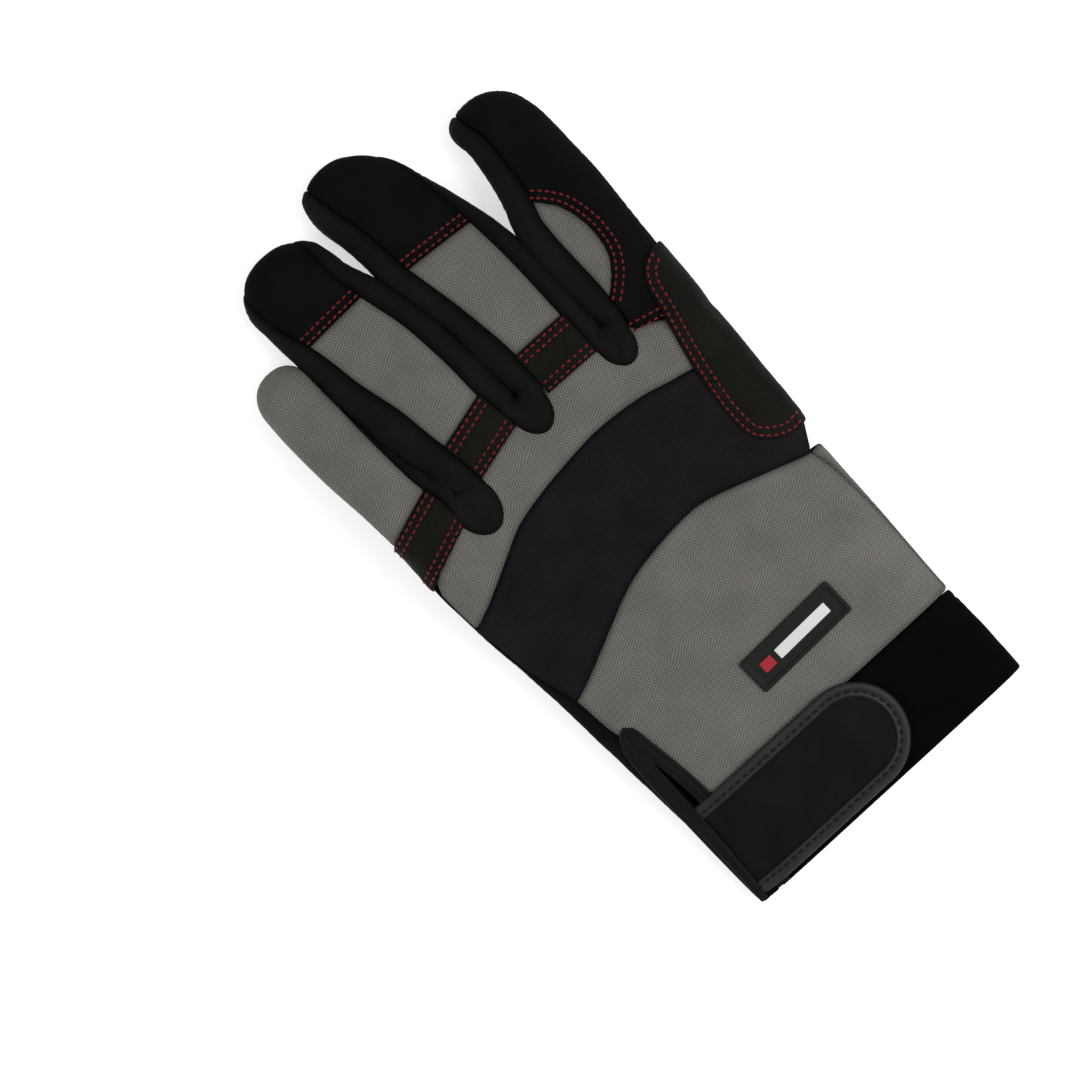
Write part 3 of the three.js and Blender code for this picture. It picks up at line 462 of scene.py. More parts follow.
def make_piece(name, shells, material, node_names):
    """One object from closed shells, riding on the glove and standing for its CAD nodes."""
    vertices, faces, edges, flats, count = [], [], [], [], 0
    for shell_vertices, shell_faces, edge, flat in shells:
        vertices.append(shell_vertices)
        faces += [[i + count for i in face] for face in shell_faces]
        edges.append(edge)
        flats.append(flat)
        count += len(shell_vertices)
    vertices = (np.vstack(vertices) - (SHIFT_X, SHIFT_Y, 0)) * MM
    mesh = bpy.data.meshes.new(name)
    mesh.from_pydata(vertices.tolist(), [], faces)
    seam = mesh.attributes.new("seam_distance", "FLOAT", "POINT")
    seam.data.foreach_set("value", np.concatenate(edges).astype(np.float32))
    cloth = mesh.uv_layers.new(name="cloth")
    loops = np.empty(len(mesh.loops), np.int32)
    mesh.loops.foreach_get("vertex_index", loops)
    cloth.data.foreach_set("uv", (np.vstack(flats)[loops] * CLOTH_SCALE).ravel())
    work = bmesh.new()
    work.from_mesh(mesh)
    bmesh.ops.remove_doubles(work, verts=work.verts, dist=SAME_PLACE)
    work.to_mesh(mesh)
    work.free()
    mesh.polygons.foreach_set("use_smooth", [True] * len(mesh.polygons))
    mesh.materials.append(material)
    piece = bpy.data.objects.new(name, mesh)
    bpy.context.scene.collection.objects.link(piece)
    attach(piece, "root")
    if node_names:
        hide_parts(*node_names)
    return piece


def node(tree, kind, values=(), **settings):
    """A node with its settings and some of its inputs given as (socket, value or link)."""
    made = tree.nodes.new(kind)
    for setting, value in settings.items():
        setattr(made, setting, value)
    for socket, value in values:
        if isinstance(value, bpy.types.NodeSocket):
            tree.links.new(value, made.inputs[socket])
        else:
            made.inputs[socket].default_value = value
    return made


def new_group(name, inputs, outputs):
    """An empty shader node group with number, colour or vector sockets."""
    group = bpy.data.node_groups.new(name, "ShaderNodeTree")
    kinds = {"number": "NodeSocketFloat", "colour": "NodeSocketColor", "vector": "NodeSocketVector"}
    for socket, kind, value in inputs:
        made = group.interface.new_socket(name=socket, in_out="INPUT", socket_type=kinds[kind])
        if value is not None:
            made.default_value = value
    for socket, kind in outputs:
        group.interface.new_socket(name=socket, in_out="OUTPUT", socket_type=kinds[kind])
    return group, group.nodes.new("NodeGroupInput").outputs, group.nodes.new("NodeGroupOutput").inputs


# Cloth's own place in millimetres, from the unrolled panel.
cloth_place, _, cloth_out = new_group("cloth place", [], [("Millimetres", "vector")])
unrolled = node(cloth_place, "ShaderNodeUVMap", uv_map="cloth")
scaled = node(cloth_place, "ShaderNodeVectorMath",
              [(0, unrolled.outputs[0]), (1, (1 / CLOTH_SCALE,) * 3)], operation="MULTIPLY")
cloth_place.links.new(scaled.outputs[0], cloth_out[0])

# Darkening along the seams, where the panel turns under and lint and shadow gather.
seam_shade, shade_in, shade_out = new_group(
    "seam shade", [("Colour", "colour", (0.5, 0.5, 0.5, 1)), ("Reach", "number", 2.0),
                   ("Strength", "number", 0.5)], [("Colour", "colour")])
seam_read = node(seam_shade, "ShaderNodeAttribute", attribute_name="seam_distance")
seam_near = node(seam_shade, "ShaderNodeMath", [(0, seam_read.outputs["Fac"]), (1, shade_in["Reach"])],
                 operation="DIVIDE", use_clamp=True)
seam_low = node(seam_shade, "ShaderNodeMath", [(0, 1.0), (1, seam_near.outputs[0])],
                operation="SUBTRACT")
seam_part = node(seam_shade, "ShaderNodeMath", [(0, seam_low.outputs[0]), (1, shade_in["Strength"])],
                 operation="MULTIPLY")
seam_dark = node(seam_shade, "ShaderNodeMix", [(0, seam_part.outputs[0]), (6, shade_in["Colour"]),
                 (7, (0.0, 0.0, 0.0, 1))], data_type="RGBA")
seam_shade.links.new(seam_dark.outputs[2], shade_out["Colour"])

# Grain: fine fibres and slow blotches, as height and as a change of tone.
grain, grain_in, grain_out = new_group(
    "grain", [("Fibre", "number", 2.0), ("Blotch", "number", 0.08), ("Contrast", "number", 0.4)],
    [("Tone", "number"), ("Height", "number")])
grain_at = node(grain, "ShaderNodeGroup", node_tree=cloth_place)
fibre = node(grain, "ShaderNodeTexNoise", [("Vector", grain_at.outputs[0]),
             ("Scale", grain_in["Fibre"]), ("Detail", 3.0), ("Roughness", 0.65)])
blotch = node(grain, "ShaderNodeTexNoise", [("Vector", grain_at.outputs[0]),
              ("Scale", grain_in["Blotch"]), ("Detail", 2.0)])
both = node(grain, "ShaderNodeMath", [(0, fibre.outputs["Fac"]), (1, blotch.outputs["Fac"])],
            operation="ADD")
centred = node(grain, "ShaderNodeMath", [(0, both.outputs[0]), (1, 1.0)], operation="SUBTRACT")
tone = node(grain, "ShaderNodeMath", [(0, centred.outputs[0]), (1, grain_in["Contrast"]), (2, 1.0)],
            operation="MULTIPLY_ADD")
grain.links.new(tone.outputs[0], grain_out["Tone"])
grain.links.new(fibre.outputs["Fac"], grain_out["Height"])


def suede_material(name, colour, roughness, sheen, fibre_scale, bump, shade=0.5, *, gloss):
    """Napped synthetic leather or velvet: blotched colour, fibre bump and a soft sheen."""
    material, tree, skin = new_material(name, roughness, gloss, sheen)
    nap = node(tree, "ShaderNodeGroup", [("Fibre", fibre_scale), ("Contrast", 0.9)], node_tree=grain)
    toned = node(tree, "ShaderNodeVectorMath", [(0, colour), (3, nap.outputs["Tone"])],
                 operation="SCALE")
    shaded = node(tree, "ShaderNodeGroup", [("Colour", toned.outputs[0]), ("Strength", shade)],
                  node_tree=seam_shade)
    raised = node(tree, "ShaderNodeBump", [("Height", nap.outputs["Height"]), ("Strength", bump),
                  ("Distance", 0.0003)])
    tree.links.new(shaded.outputs[0], skin.inputs["Base Color"])
    tree.links.new(raised.outputs[0], skin.inputs["Normal"])
    skin.inputs["Sheen Roughness"].default_value = 0.45
    return material


black_suede = suede_material("black suede", (0.0046, 0.0044, 0.0044), 0.8, 0.004, 1.6, 0.35,
                             gloss=0.035)


def finger_seam(name, side, start):
    """The side seam of a finger in the plan of the palm, from a y up to the tip's middle."""
    rows, round_y, tip = FINGER_LINES[name]
    half = follow(rows, 2, round_y)
    straight = np.arange(start, round_y, 4.0)
    turns = np.linspace(0, math.pi / 2, 12)
    tip_width = half * np.cos(turns) ** (2 / TIP_POWER)
    dx = np.concatenate([follow(rows, 2, straight), tip_width]) * PALM_SEAM
    y = np.concatenate([straight, round_y + PALM_SEAM * tip * np.sin(turns) ** (2 / TIP_POWER)])
    return np.stack([follow(rows, 1, y) + side * dx, y], axis=1)


def unrolled_over(x, y):
    """Where a place on the back near the hand's edge lies, unrolled from the palm's side."""
    centre, half = hand_line(np.asarray(y, float))
    share = np.abs(x - centre) / half
    turn = np.where(
        share > HAND_FLAT, math.pi - np.arcsin(np.clip((share - HAND_FLAT) / (1 - HAND_FLAT), 0, 1)),
        math.pi + (HAND_FLAT - share) / (1 - HAND_FLAT),
    )
    return centre + np.sign(x - centre) * (HAND_FLAT + (1 - HAND_FLAT) * turn) * half


CUFF_SEAM = 31.2  # y of the seam between the hand's panels and the cuff
PALM_FINGERS = [
    # finger, where its seam starts at the little and at the index side, middle of the gap beyond
    ("little", 152, 158, -41.5), ("ring", 158, 158, -5.3), ("middle", 158, 158, 26.2),
    ("index", 158, 146, None),
]
CROTCH = 151.5
little_rise = [(unrolled_over(x, y), max(y, CUFF_SEAM)) for x, y in LITTLE_SEAM if y > 0]
palm_parts = [curve(little_rise + [(-62.4, 131), (-61, 136), (-59.9, 141), (-59.4, 147)])]
for name, near_start, far_start, gap_middle in PALM_FINGERS:
    palm_parts += [finger_seam(name, -1, near_start), finger_seam(name, 1, far_start)[::-1]]
    if gap_middle is not None:
        palm_parts.append(np.array([(gap_middle, CROTCH)]))
palm_parts.append(curve([(52.6, 140), (52.3, 126), (50.9, 108), (50.2, 94), (46, 88), (46, 60),
                         (46.5, CUFF_SEAM)]))
palm_loop = spaced(np.vstack(palm_parts))
palm_loop = spaced(curve(np.vstack([palm_loop, palm_loop[:1]]), EDGE_STEP)[:-1], 0.2)
palm_shell = sewn_panel(palm_loop, on_palm, puff=0.1, spacing=1.5)
make_piece("palm_hide", [palm_shell], black_suede, ["palm_leather"])

# Palm reinforcements
# Two pads of thicker grained leather on the palm, one along the heel of the hand and one below
# the fingers, each held by rows of red stitches along its edges.
HEEL_PAD = [
    (-36, 139.5), (-42, 150), (-45.6, 154.5), (-49.8, 150), (-52.8, 141), (-53.4, 130.5),
    (-50.4, 121.5), (-52.8, 111), (-53.1, 99), (-51.9, 90), (-48, 79.5), (-42, 69), (-36, 61.5),
    (-28.8, 56.3), (-22.8, 61.5), (-26.4, 78), (-33.6, 90), (-37.2, 102), (-36.6, 114), (-33, 123),
]
FINGER_PAD = [
    (-1.2, 144), (4.8, 153), (10.2, 156.8), (15.6, 153), (20.4, 144.8), (25.2, 141), (30, 143.3),
    (34.8, 150), (40.2, 154.5), (45.6, 152.3), (48, 144), (46.2, 135), (39.6, 127.5), (30, 124.5),
    (20.4, 126.8), (9, 130.5), (1.2, 136.5),
]
PAD_THICKNESS = 1.0
PAD_ROWS = (1.6, 3.4)  # how far inside a pad's edge its rows of stitches run
FINGER_PAD_ROW = 5.2  # a third row on the pad below the fingers


def closed_curve(points):
    """A smooth closed line through the given points."""
    p = np.array(points, float)
    wrapped = curve(np.vstack([p[-2:], p, p[:3]]))
    start = np.argmin(np.linalg.norm(wrapped - p[0], axis=1)[: len(wrapped) // 2])
    end = len(wrapped) // 2 + np.argmin(np.linalg.norm(wrapped - p[0], axis=1)[len(wrapped) // 2:])
    return wrapped[start:end]


def beside(line, distance):
    """A line shifted sideways, to its left as it runs."""
    along = np.gradient(line, axis=0)
    along /= np.maximum(np.linalg.norm(along, axis=1), 1e-6)[:, None]
    return line + distance * np.stack([-along[:, 1], along[:, 0]], axis=1)


def outline_inside(loop, distance):
    """A closed line inside an outline, at a distance from its edge."""
    along = np.roll(loop, -1, axis=0) - np.roll(loop, 1, axis=0)
    along /= np.linalg.norm(along, axis=1)[:, None]
    inward = math.copysign(distance, signed_area(loop))
    inner = loop + inward * np.stack([-along[:, 1], along[:, 0]], axis=1)
    inner = inner[distance_to(inner, loop) > 0.93 * distance]
    return np.vstack([inner, inner[:1]])


STITCH_PITCH = 2.1


def stitch_tree():
    """Geometry nodes: one lying stitch after another along every line."""
    tree = bpy.data.node_groups.new("stitches", "GeometryNodeTree")
    sockets = {}
    for name, kind, value in (
        ("Lines", "NodeSocketGeometry", None), ("Pitch", "NodeSocketFloat", 0.0022),
        ("Length", "NodeSocketFloat", 0.0015), ("Width", "NodeSocketFloat", 0.0006),
        ("Unevenness", "NodeSocketFloat", 0.12), ("Seed", "NodeSocketInt", 4),
        ("Thread", "NodeSocketMaterial", None),
    ):
        made = tree.interface.new_socket(name=name, in_out="INPUT", socket_type=kind)
        if value is not None:
            made.default_value = value
        sockets[name] = made.identifier
    tree.interface.new_socket(name="Stitches", in_out="OUTPUT", socket_type="NodeSocketGeometry")
    given = tree.nodes.new("NodeGroupInput").outputs
    lines = node(tree, "GeometryNodeMeshToCurve", [(0, given["Lines"])])
    points = node(tree, "GeometryNodeCurveToPoints",
                  [("Curve", lines.outputs[0]), ("Length", given["Pitch"])], mode="LENGTH")
    bead = node(tree, "GeometryNodeMeshUVSphere", [("Segments", 8), ("Rings", 6), ("Radius", 0.5)])
    size = node(tree, "ShaderNodeCombineXYZ",
                [("X", given["Width"]), ("Y", given["Width"]), ("Z", given["Length"])])
    wobble = node(tree, "FunctionNodeRandomValue",
                  [("Min", (-1.0, -1.0, -1.0)), ("Max", (1.0, 1.0, 1.0)), ("Seed", given["Seed"])],
                  data_type="FLOAT_VECTOR")
    turn = node(tree, "ShaderNodeVectorMath", [(0, wobble.outputs[0]), (3, given["Unevenness"])],
                operation="SCALE")
    angle = node(tree, "FunctionNodeRotateRotation",
                 [(0, points.outputs["Rotation"]), (1, turn.outputs[0])], rotation_space="LOCAL")
    laid = node(tree, "GeometryNodeInstanceOnPoints",
                [("Points", points.outputs["Points"]), ("Instance", bead.outputs["Mesh"]),
                 ("Rotation", angle.outputs[0]), ("Scale", size.outputs[0])])
    real = node(tree, "GeometryNodeRealizeInstances", [(0, laid.outputs[0])])
    coloured = node(tree, "GeometryNodeSetMaterial",
                    [("Geometry", real.outputs[0]), ("Material", given["Thread"])])
    shown = node(tree, "GeometryNodeSetShadeSmooth", [("Geometry", coloured.outputs[0])])
    tree.links.new(shown.outputs[0], tree.nodes.new("NodeGroupOutput").inputs["Stitches"])
    return tree, sockets


stitches, stitch_sockets = stitch_tree()
WAYS_UP = {"back": 1, "palm": -1}
NEEDLE_HEIGHT = 0.08  # metres over or under the table, clear of the glove
STITCH_SINK = 0.17


def sew(name, rows, onto, thread, facing="back", width=0.72, length=1.5, pitch=STITCH_PITCH, seed=4):
    """Rows of stitches dropped straight onto the outside of finished pieces."""
    covers = []
    for piece in onto:
        mesh = piece.data
        covers.append(BVHTree.FromPolygons([v.co for v in mesh.vertices],
                                           [p.vertices for p in mesh.polygons]))
    way = WAYS_UP[facing]
    places, joints = [], []
    for row in rows:
        before = None
        for x, y in row:
            start = Vector(((x - SHIFT_X) * MM, (y - SHIFT_Y) * MM, NEEDLE_HEIGHT * way))
            hits = [cover.ray_cast(start, Vector((0, 0, -way))) for cover in covers]
            hits = [hit for hit in hits if hit[0] is not None]
            if not hits:
                before = None
                continue
            spot, normal, _, _ = min(hits, key=lambda hit: hit[3])
            places.append(spot + normal * (width / 2 - STITCH_SINK) * MM)
            if before is not None:
                joints.append((before, len(places) - 1))
            before = len(places) - 1
    lines = bpy.data.meshes.new(name)
    lines.from_pydata(places, joints, [])
    draft = bpy.data.objects.new(name + "_rows", lines)
    bpy.context.scene.collection.objects.link(draft)
    modifier = draft.modifiers.new("stitches", "NODES")
    modifier.node_group = stitches
    for socket, value in (("Pitch", pitch * MM), ("Length", length * MM), ("Width", width * MM),
                          ("Seed", seed), ("Thread", thread)):
        modifier[stitch_sockets[socket]] = value
    bpy.context.view_layer.update()
    seen = draft.evaluated_get(bpy.context.evaluated_depsgraph_get())
    mesh = bpy.data.meshes.new_from_object(seen)
    bpy.data.objects.remove(draft)
    mesh.materials.clear()
    mesh.materials.append(thread)
    mesh.polygons.foreach_set("material_index", [0] * len(mesh.polygons))
    thread_object = bpy.data.objects.new(name, mesh)
    bpy.context.scene.collection.objects.link(thread_object)
    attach(thread_object, "root")


def thread_material(name, colour):
    """Twisted polyester thread: fine light and dark turns along it and a slight gloss."""
    material, tree, skin = new_material(name, 0.6, 0.2, 0.03)
    where = node(tree, "ShaderNodeTexCoord")
    twist = node(tree, "ShaderNodeTexNoise", [("Vector", where.outputs["Object"]), ("Scale", 2600.0),
                 ("Detail", 1.0)])
    blotches = node(tree, "ShaderNodeTexNoise", [("Vector", where.outputs["Object"]),
                    ("Scale", 160.0), ("Detail", 2.0)])
    mixed = node(tree, "ShaderNodeMath", [(0, twist.outputs["Fac"]), (1, blotches.outputs["Fac"])],
                 operation="MULTIPLY_ADD")
    mixed.inputs[2].default_value = 0.45
    toned = node(tree, "ShaderNodeVectorMath", [(0, colour), (3, mixed.outputs[0])],
                 operation="SCALE")
    tree.links.new(toned.outputs[0], skin.inputs["Base Color"])
    return material


red_thread = thread_material("red thread", (0.21, 0.011, 0.014))
grained = suede_material("grained leather", (0.0066, 0.0066, 0.0048), 0.62, 0.004, 0.8, 0.6,
                         gloss=0.06)
pads, pad_rows = [], []
for name, points in (("heel_pad", HEEL_PAD), ("finger_pad", FINGER_PAD)):
    pad_loop = closed_curve(points)
    rows = [outline_inside(pad_loop, gap) for gap in PAD_ROWS]
    pad_rows += rows
    pad_shell = sewn_panel(pad_loop, on_palm, lift=PAD_THICKNESS, wall=1.1, roll=0.5, puff=0.1,
                           rows=[(row, 0.18, 0.5) for row in rows])
    pads.append(make_piece(name + "_hide", [pad_shell], grained, [name]))
pad_rows.append(outline_inside(closed_curve(FINGER_PAD), FINGER_PAD_ROW))
sew("pad_stitches", pad_rows, pads, red_thread, "palm")

# Thumb
# The thumb is folded flat under the palm: suede round its inner side, grey knit on its outer
# side, which the fold turns to the table, and a grained patch over its root.
THUMB_EDGES = [
    # place along the thumb, x and y of its edge near the cuff, x and y of its edge near the
    # fingers, share by which its top rises from its own thickness to the middle of the hand
    (0, 44.1, 39.3, 49.3, 86.3, 0.86), (1, 40, 37.5, 48.5, 89.6, 1), (2, 33, 40.8, 46.5, 96, 0.85),
    (3, 16, 55, 42, 108, 0.3), (4, -6, 78, 34, 119, 0), (5, -20, 101, 24, 128, 0),
    (6, -31, 124, 12, 138, 0), (7, -36.5, 142, 2.5, 148.5, 0),
]
THUMB_TIP = 15.5
THUMB_THICKNESS = 10.0
THUMB_FLAT, THUMB_FULLNESS = 0.82, 4.0
THUMB_AHEAD = np.array([-0.46, 0.888])  # the way its tip points
THUMB_FLOOR = 0.62  # height of the thumb's underside over the table
THUMB_BEND_Y = 90  # beyond this y lies the half of the thumb that ends in the tip
FOLD_RADIUS = 4.0
FOLD_WAY = np.array([1.0, -0.1])  # the way the thumb's root bulges out at the fold
FOLD_TUCK = 4.2  # how far the bulge is pulled back under the hand


def thumb_line(place):
    near = np.stack([follow(THUMB_EDGES, 1, place), follow(THUMB_EDGES, 2, place)], axis=-1)
    far = np.stack([follow(THUMB_EDGES, 3, place), follow(THUMB_EDGES, 4, place)], axis=-1)
    return near, far


thumb_rows = np.linspace(0, 7, 141)
thumb_near, thumb_far = thumb_line(thumb_rows)
thumb_middle = (thumb_near + thumb_far) / 2
thumb_length = np.concatenate([[0], np.cumsum(np.linalg.norm(np.diff(thumb_middle, axis=0), axis=1))])
THUMB_ROUND = thumb_length[-1]


def on_thumb(u, v, lift):
    """A place on the thumb, u along it from the fold, v across, unrolled from its underside."""
    lift = np.broadcast_to(lift, np.shape(u))
    place = np.interp(u, thumb_length, thumb_rows)
    near, far = thumb_line(place)
    middle, reach = (near + far) / 2, (far - near) / 2
    half = np.linalg.norm(reach, axis=-1)
    beyond = np.maximum(u - THUMB_ROUND, 0)
    across = (np.abs(v / half) ** TIP_POWER + (beyond / THUMB_TIP) ** TIP_POWER) ** (1 / TIP_POWER)
    share, rise = around(across, THUMB_FLAT, THUMB_FULLNESS)
    pull = share / np.maximum(across, 1e-6)
    flat = middle + reach / half[..., None] * (v * pull * (half + lift) / half)[..., None]
    flat = flat + THUMB_AHEAD * (beyond * pull * (THUMB_TIP + lift) / THUMB_TIP)[..., None]
    turn = np.clip(-u / FOLD_RADIUS, 0, math.pi / 2)
    outwards = FOLD_RADIUS * np.sin(turn) + lift * np.sin(turn)
    flat = flat + FOLD_WAY * (outwards - FOLD_TUCK * (turn > 0) * np.minimum(turn, 1))[..., None]
    raised = np.interp(u, thumb_length, follow(THUMB_EDGES, 5, thumb_rows))
    top = THUMB_THICKNESS + raised * (middle_height(flat[..., 0], flat[..., 1]) - THUMB_THICKNESS)
    z = top / 2 - (top / 2 + lift * np.cos(turn)) * rise
    z = z + FOLD_RADIUS * (1 - np.cos(turn)) + np.maximum(-u - FOLD_RADIUS * math.pi / 2, 0)
    z = np.maximum(z, np.maximum(THUMB_FLOOR - lift, TABLE_GAP))
    return np.stack([flat[..., 0], flat[..., 1], z], axis=-1)


def thumb_plan(points):
    """Places on the thumb's underside, given in the plan, as places along and across it."""
    reach = thumb_far - thumb_near
    width = np.linalg.norm(reach, axis=1)
    rows = np.arange(len(thumb_length))
    out = []
    for spot in curve(points):
        off = spot - thumb_near
        share = (off * reach).sum(1) / (reach**2).sum(1)
        side = (reach[:, 0] * off[:, 1] - reach[:, 1] * off[:, 0]) / width
        crossing = (side[:-1] * side[1:] <= 0) & (np.abs(share[:-1] - 0.5) < 1.0)
        if crossing.any():
            row = np.nonzero(crossing)[0][-1]
            row = row + side[row] / (side[row] - side[row + 1])
        else:
            row = rows[-1] if spot[1] > THUMB_BEND_Y else 0
        along = np.interp(row, rows, thumb_length)
        half = np.interp(row, rows, width) / 2
        if row >= rows[-1] - 0.001:
            along += max(0.0, (spot - thumb_middle[-1]) @ THUMB_AHEAD)
        out.append((along, (2 * np.interp(row, rows, share) - 1) * half))
    return np.array(out)


def thumb_edge(across, start, stop):
    """A line along the thumb at a share across it, past 1 round its side."""
    u = np.arange(start, stop, 2.0)
    near, far = thumb_line(np.interp(u, thumb_length, thumb_rows))
    return np.stack([u, across * np.linalg.norm(far - near, axis=-1) / 2], axis=1)


def thumb_end(across, high, low, steps):
    """Round the thumb's tip from one share across to another, at a share of its outline."""
    half = np.linalg.norm(thumb_far[-1] - thumb_near[-1]) / 2
    angle = np.linspace(math.asin(np.clip(abs(high) / across, 0, 1)) * np.sign(high),
                        math.asin(np.clip(abs(low) / across, 0, 1)) * np.sign(low), steps)
    v = across * half * np.sign(angle) * np.abs(np.sin(angle)) ** (2 / TIP_POWER)
    u = THUMB_ROUND + across * THUMB_TIP * np.cos(angle) ** (2 / TIP_POWER)
    return np.stack([u, v], axis=1)


CLOTH_SEAM = [
    # where knit and suede meet on the thumb's underside, seen in the plan, from tip to root
    (-32, 154), (-30.5, 148), (-27, 140.5), (-21, 131), (-13, 119.5), (-4, 110), (6, 102.5),
    (18, 97), (31, 93), (43, 91.9),
]
PATCH_SEAM = [
    # the free edge of the patch on the thumb's root, from tip to root
    (-22, 101), (-17, 100.8), (-12, 101.3), (-6, 100.3), (0, 98.3), (7.8, 94.5), (13.8, 90),
    (19.8, 75), (25.2, 60), (31, 46), (34, 40),
]
THUMB_MOUTH = [
    # where the knit ends inside the fold, along and across the thumb
    (-14.6, -21), (-15.8, -4), (-15.3, 10), (-13.6, 18.5), (-11, 23.0),
]
SEAM_AT_FOLD = [(-5, 23.2), (0.5, 23.4)]
KNIT_TURN = 1.12  # share of the half-width, past 1 where it turns up round the thumb's side
LEATHER_TURN = 2.1
INNER_TURNS = (1.14, 2.05)
PATCH_TURN = 1.05
THUMB_START = 0.5

cloth_seam = thumb_plan(CLOTH_SEAM)[::-1]
cloth_seam = np.vstack([THUMB_MOUTH[-1], SEAM_AT_FOLD, cloth_seam[cloth_seam[:, 0] > 3]])
near_side = thumb_edge(-KNIT_TURN, -11, THUMB_ROUND)
tip_share = cloth_seam[-1, 1] / (np.linalg.norm(thumb_far[-1] - thumb_near[-1]) / 2)
mouth = curve([near_side[0], *THUMB_MOUTH], 1.5)
cloth_loop = np.vstack([cloth_seam, thumb_end(KNIT_TURN, tip_share, -KNIT_TURN, 14),
                        near_side[::-1], mouth[1:-1]])
leather_loop = np.vstack([cloth_seam[cloth_seam[:, 0] > THUMB_START],
                          thumb_end(LEATHER_TURN, tip_share, LEATHER_TURN, 18),
                          thumb_edge(LEATHER_TURN, THUMB_START, THUMB_ROUND)[::-1]])
low_turn, high_turn = INNER_TURNS
inner_loop = np.vstack([thumb_edge(-low_turn, THUMB_START, THUMB_ROUND),
                        thumb_end(low_turn, -low_turn, tip_share, 14),
                        thumb_end(high_turn, tip_share, -high_turn, 14),
                        thumb_edge(-high_turn, THUMB_START, THUMB_ROUND)[::-1]])
patch_seam = thumb_plan(PATCH_SEAM)
patch_loop = np.vstack([patch_seam, thumb_edge(-PATCH_TURN, patch_seam[-1, 0], patch_seam[0, 0])])

# Fine dots of shadow between the knit's loops, in slanted rows.
knit_weave, weave_in, weave_out = new_group(
    "knit weave", [("Loop", "number", 0.95)], [("Height", "number"), ("Hole", "number")])
weave_at = node(knit_weave, "ShaderNodeGroup", node_tree=cloth_place)
weave_bend = node(knit_weave, "ShaderNodeTexNoise", [("Vector", weave_at.outputs[0]),
                  ("Scale", 0.12), ("Detail", 1.0)])
weave_shift = node(knit_weave, "ShaderNodeVectorMath", [(0, weave_bend.outputs["Color"]),
                   (1, (1.6, 1.6, 0)), (2, weave_at.outputs[0])], operation="MULTIPLY_ADD")
weave_count = node(knit_weave, "ShaderNodeMath", [(0, 2 * math.pi), (1, weave_in["Loop"])],
                   operation="DIVIDE")
weave_scaled = node(knit_weave, "ShaderNodeVectorMath", [(0, weave_shift.outputs[0]),
                    (3, weave_count.outputs[0])], operation="SCALE")
weave_axes = node(knit_weave, "ShaderNodeSeparateXYZ", [(0, weave_scaled.outputs[0])])
weave_sum = node(knit_weave, "ShaderNodeMath", [(0, weave_axes.outputs[1]), (1, 0.6),
                 (2, weave_axes.outputs[0])], operation="MULTIPLY_ADD")
weave_less = node(knit_weave, "ShaderNodeMath", [(0, weave_axes.outputs[0]), (1, -0.6),
                  (2, weave_axes.outputs[1])], operation="MULTIPLY_ADD")
weave_a = node(knit_weave, "ShaderNodeMath", [(0, weave_sum.outputs[0])], operation="COSINE")
weave_b = node(knit_weave, "ShaderNodeMath", [(0, weave_less.outputs[0])], operation="COSINE")
weave_rows = node(knit_weave, "ShaderNodeMath", [(0, weave_b.outputs[0]), (1, 1.7),
                  (2, weave_a.outputs[0])], operation="MULTIPLY_ADD")
weave_mean = node(knit_weave, "ShaderNodeMath", [(0, weave_rows.outputs[0]), (1, 0.74)],
                  operation="MULTIPLY")
weave_map = node(knit_weave, "ShaderNodeMapRange", [(0, weave_mean.outputs[0]), (1, -2.0), (2, 2.0)])
weave_hole = node(knit_weave, "ShaderNodeMapRange", [(0, weave_mean.outputs[0]), (1, 0.25), (2, 1.5)])
knit_weave.links.new(weave_map.outputs[0], weave_out["Height"])
knit_weave.links.new(weave_hole.outputs[0], weave_out["Hole"])


def knit_material(name, colour, hole_colour, loop, bump, shade=0.45, contrast=0.5):
    """Spacer knit: light loops with dark dots between them."""
    material, tree, skin = new_material(name, 0.9, 0.06)
    weave = node(tree, "ShaderNodeGroup", [("Loop", loop)], node_tree=knit_weave)
    fuzz = node(tree, "ShaderNodeGroup", [("Fibre", 1.3), ("Contrast", contrast)], node_tree=grain)
    toned = node(tree, "ShaderNodeVectorMath", [(0, colour), (3, fuzz.outputs["Tone"])],
                 operation="SCALE")
    dotted = node(tree, "ShaderNodeMix", [(0, weave.outputs["Hole"]), (6, toned.outputs[0]),
                  (7, hole_colour)], data_type="RGBA")
    shaded = node(tree, "ShaderNodeGroup", [("Colour", dotted.outputs[2]), ("Strength", shade)],
                  node_tree=seam_shade)
    deep = node(tree, "ShaderNodeMath", [(0, 1.0), (1, weave.outputs["Height"])],
                operation="SUBTRACT")
    raised = node(tree, "ShaderNodeBump", [("Height", deep.outputs[0]), ("Strength", bump),
                  ("Distance", 0.0003)])
    tree.links.new(shaded.outputs[0], skin.inputs["Base Color"])
    tree.links.new(raised.outputs[0], skin.inputs["Normal"])
    return material


grey_knit = knit_material("grey knit", (0.190, 0.181, 0.162), (0.062, 0.058, 0.053, 1), 0.86,
                          bump=0.7)
THUMB_WALL = 1.3
cloth_shell = sewn_panel(cloth_loop, on_thumb, wall=THUMB_WALL, puff=0.1)
FOLD_EDGE = [
    # seam between the thumb's knit and the hand's back, seen in the plan
    (46, 87), (47.4, 82.5), (48.4, 73.5), (49, 60), (49.2, CUFF_SEAM),
]


def hand_plan(x, y):
    """Places on the hand's back, given in the plan, unrolled towards the edges."""
    centre, half = hand_line(y)
    share = (x - centre) / half
    size = np.minimum(np.abs(share), 1)
    over = HAND_FLAT + (1 - HAND_FLAT) * np.arcsin(np.clip((size - HAND_FLAT) / (1 - HAND_FLAT), 0, 1))
    return np.where(size > HAND_FLAT, centre + np.sign(share) * over * half, x)


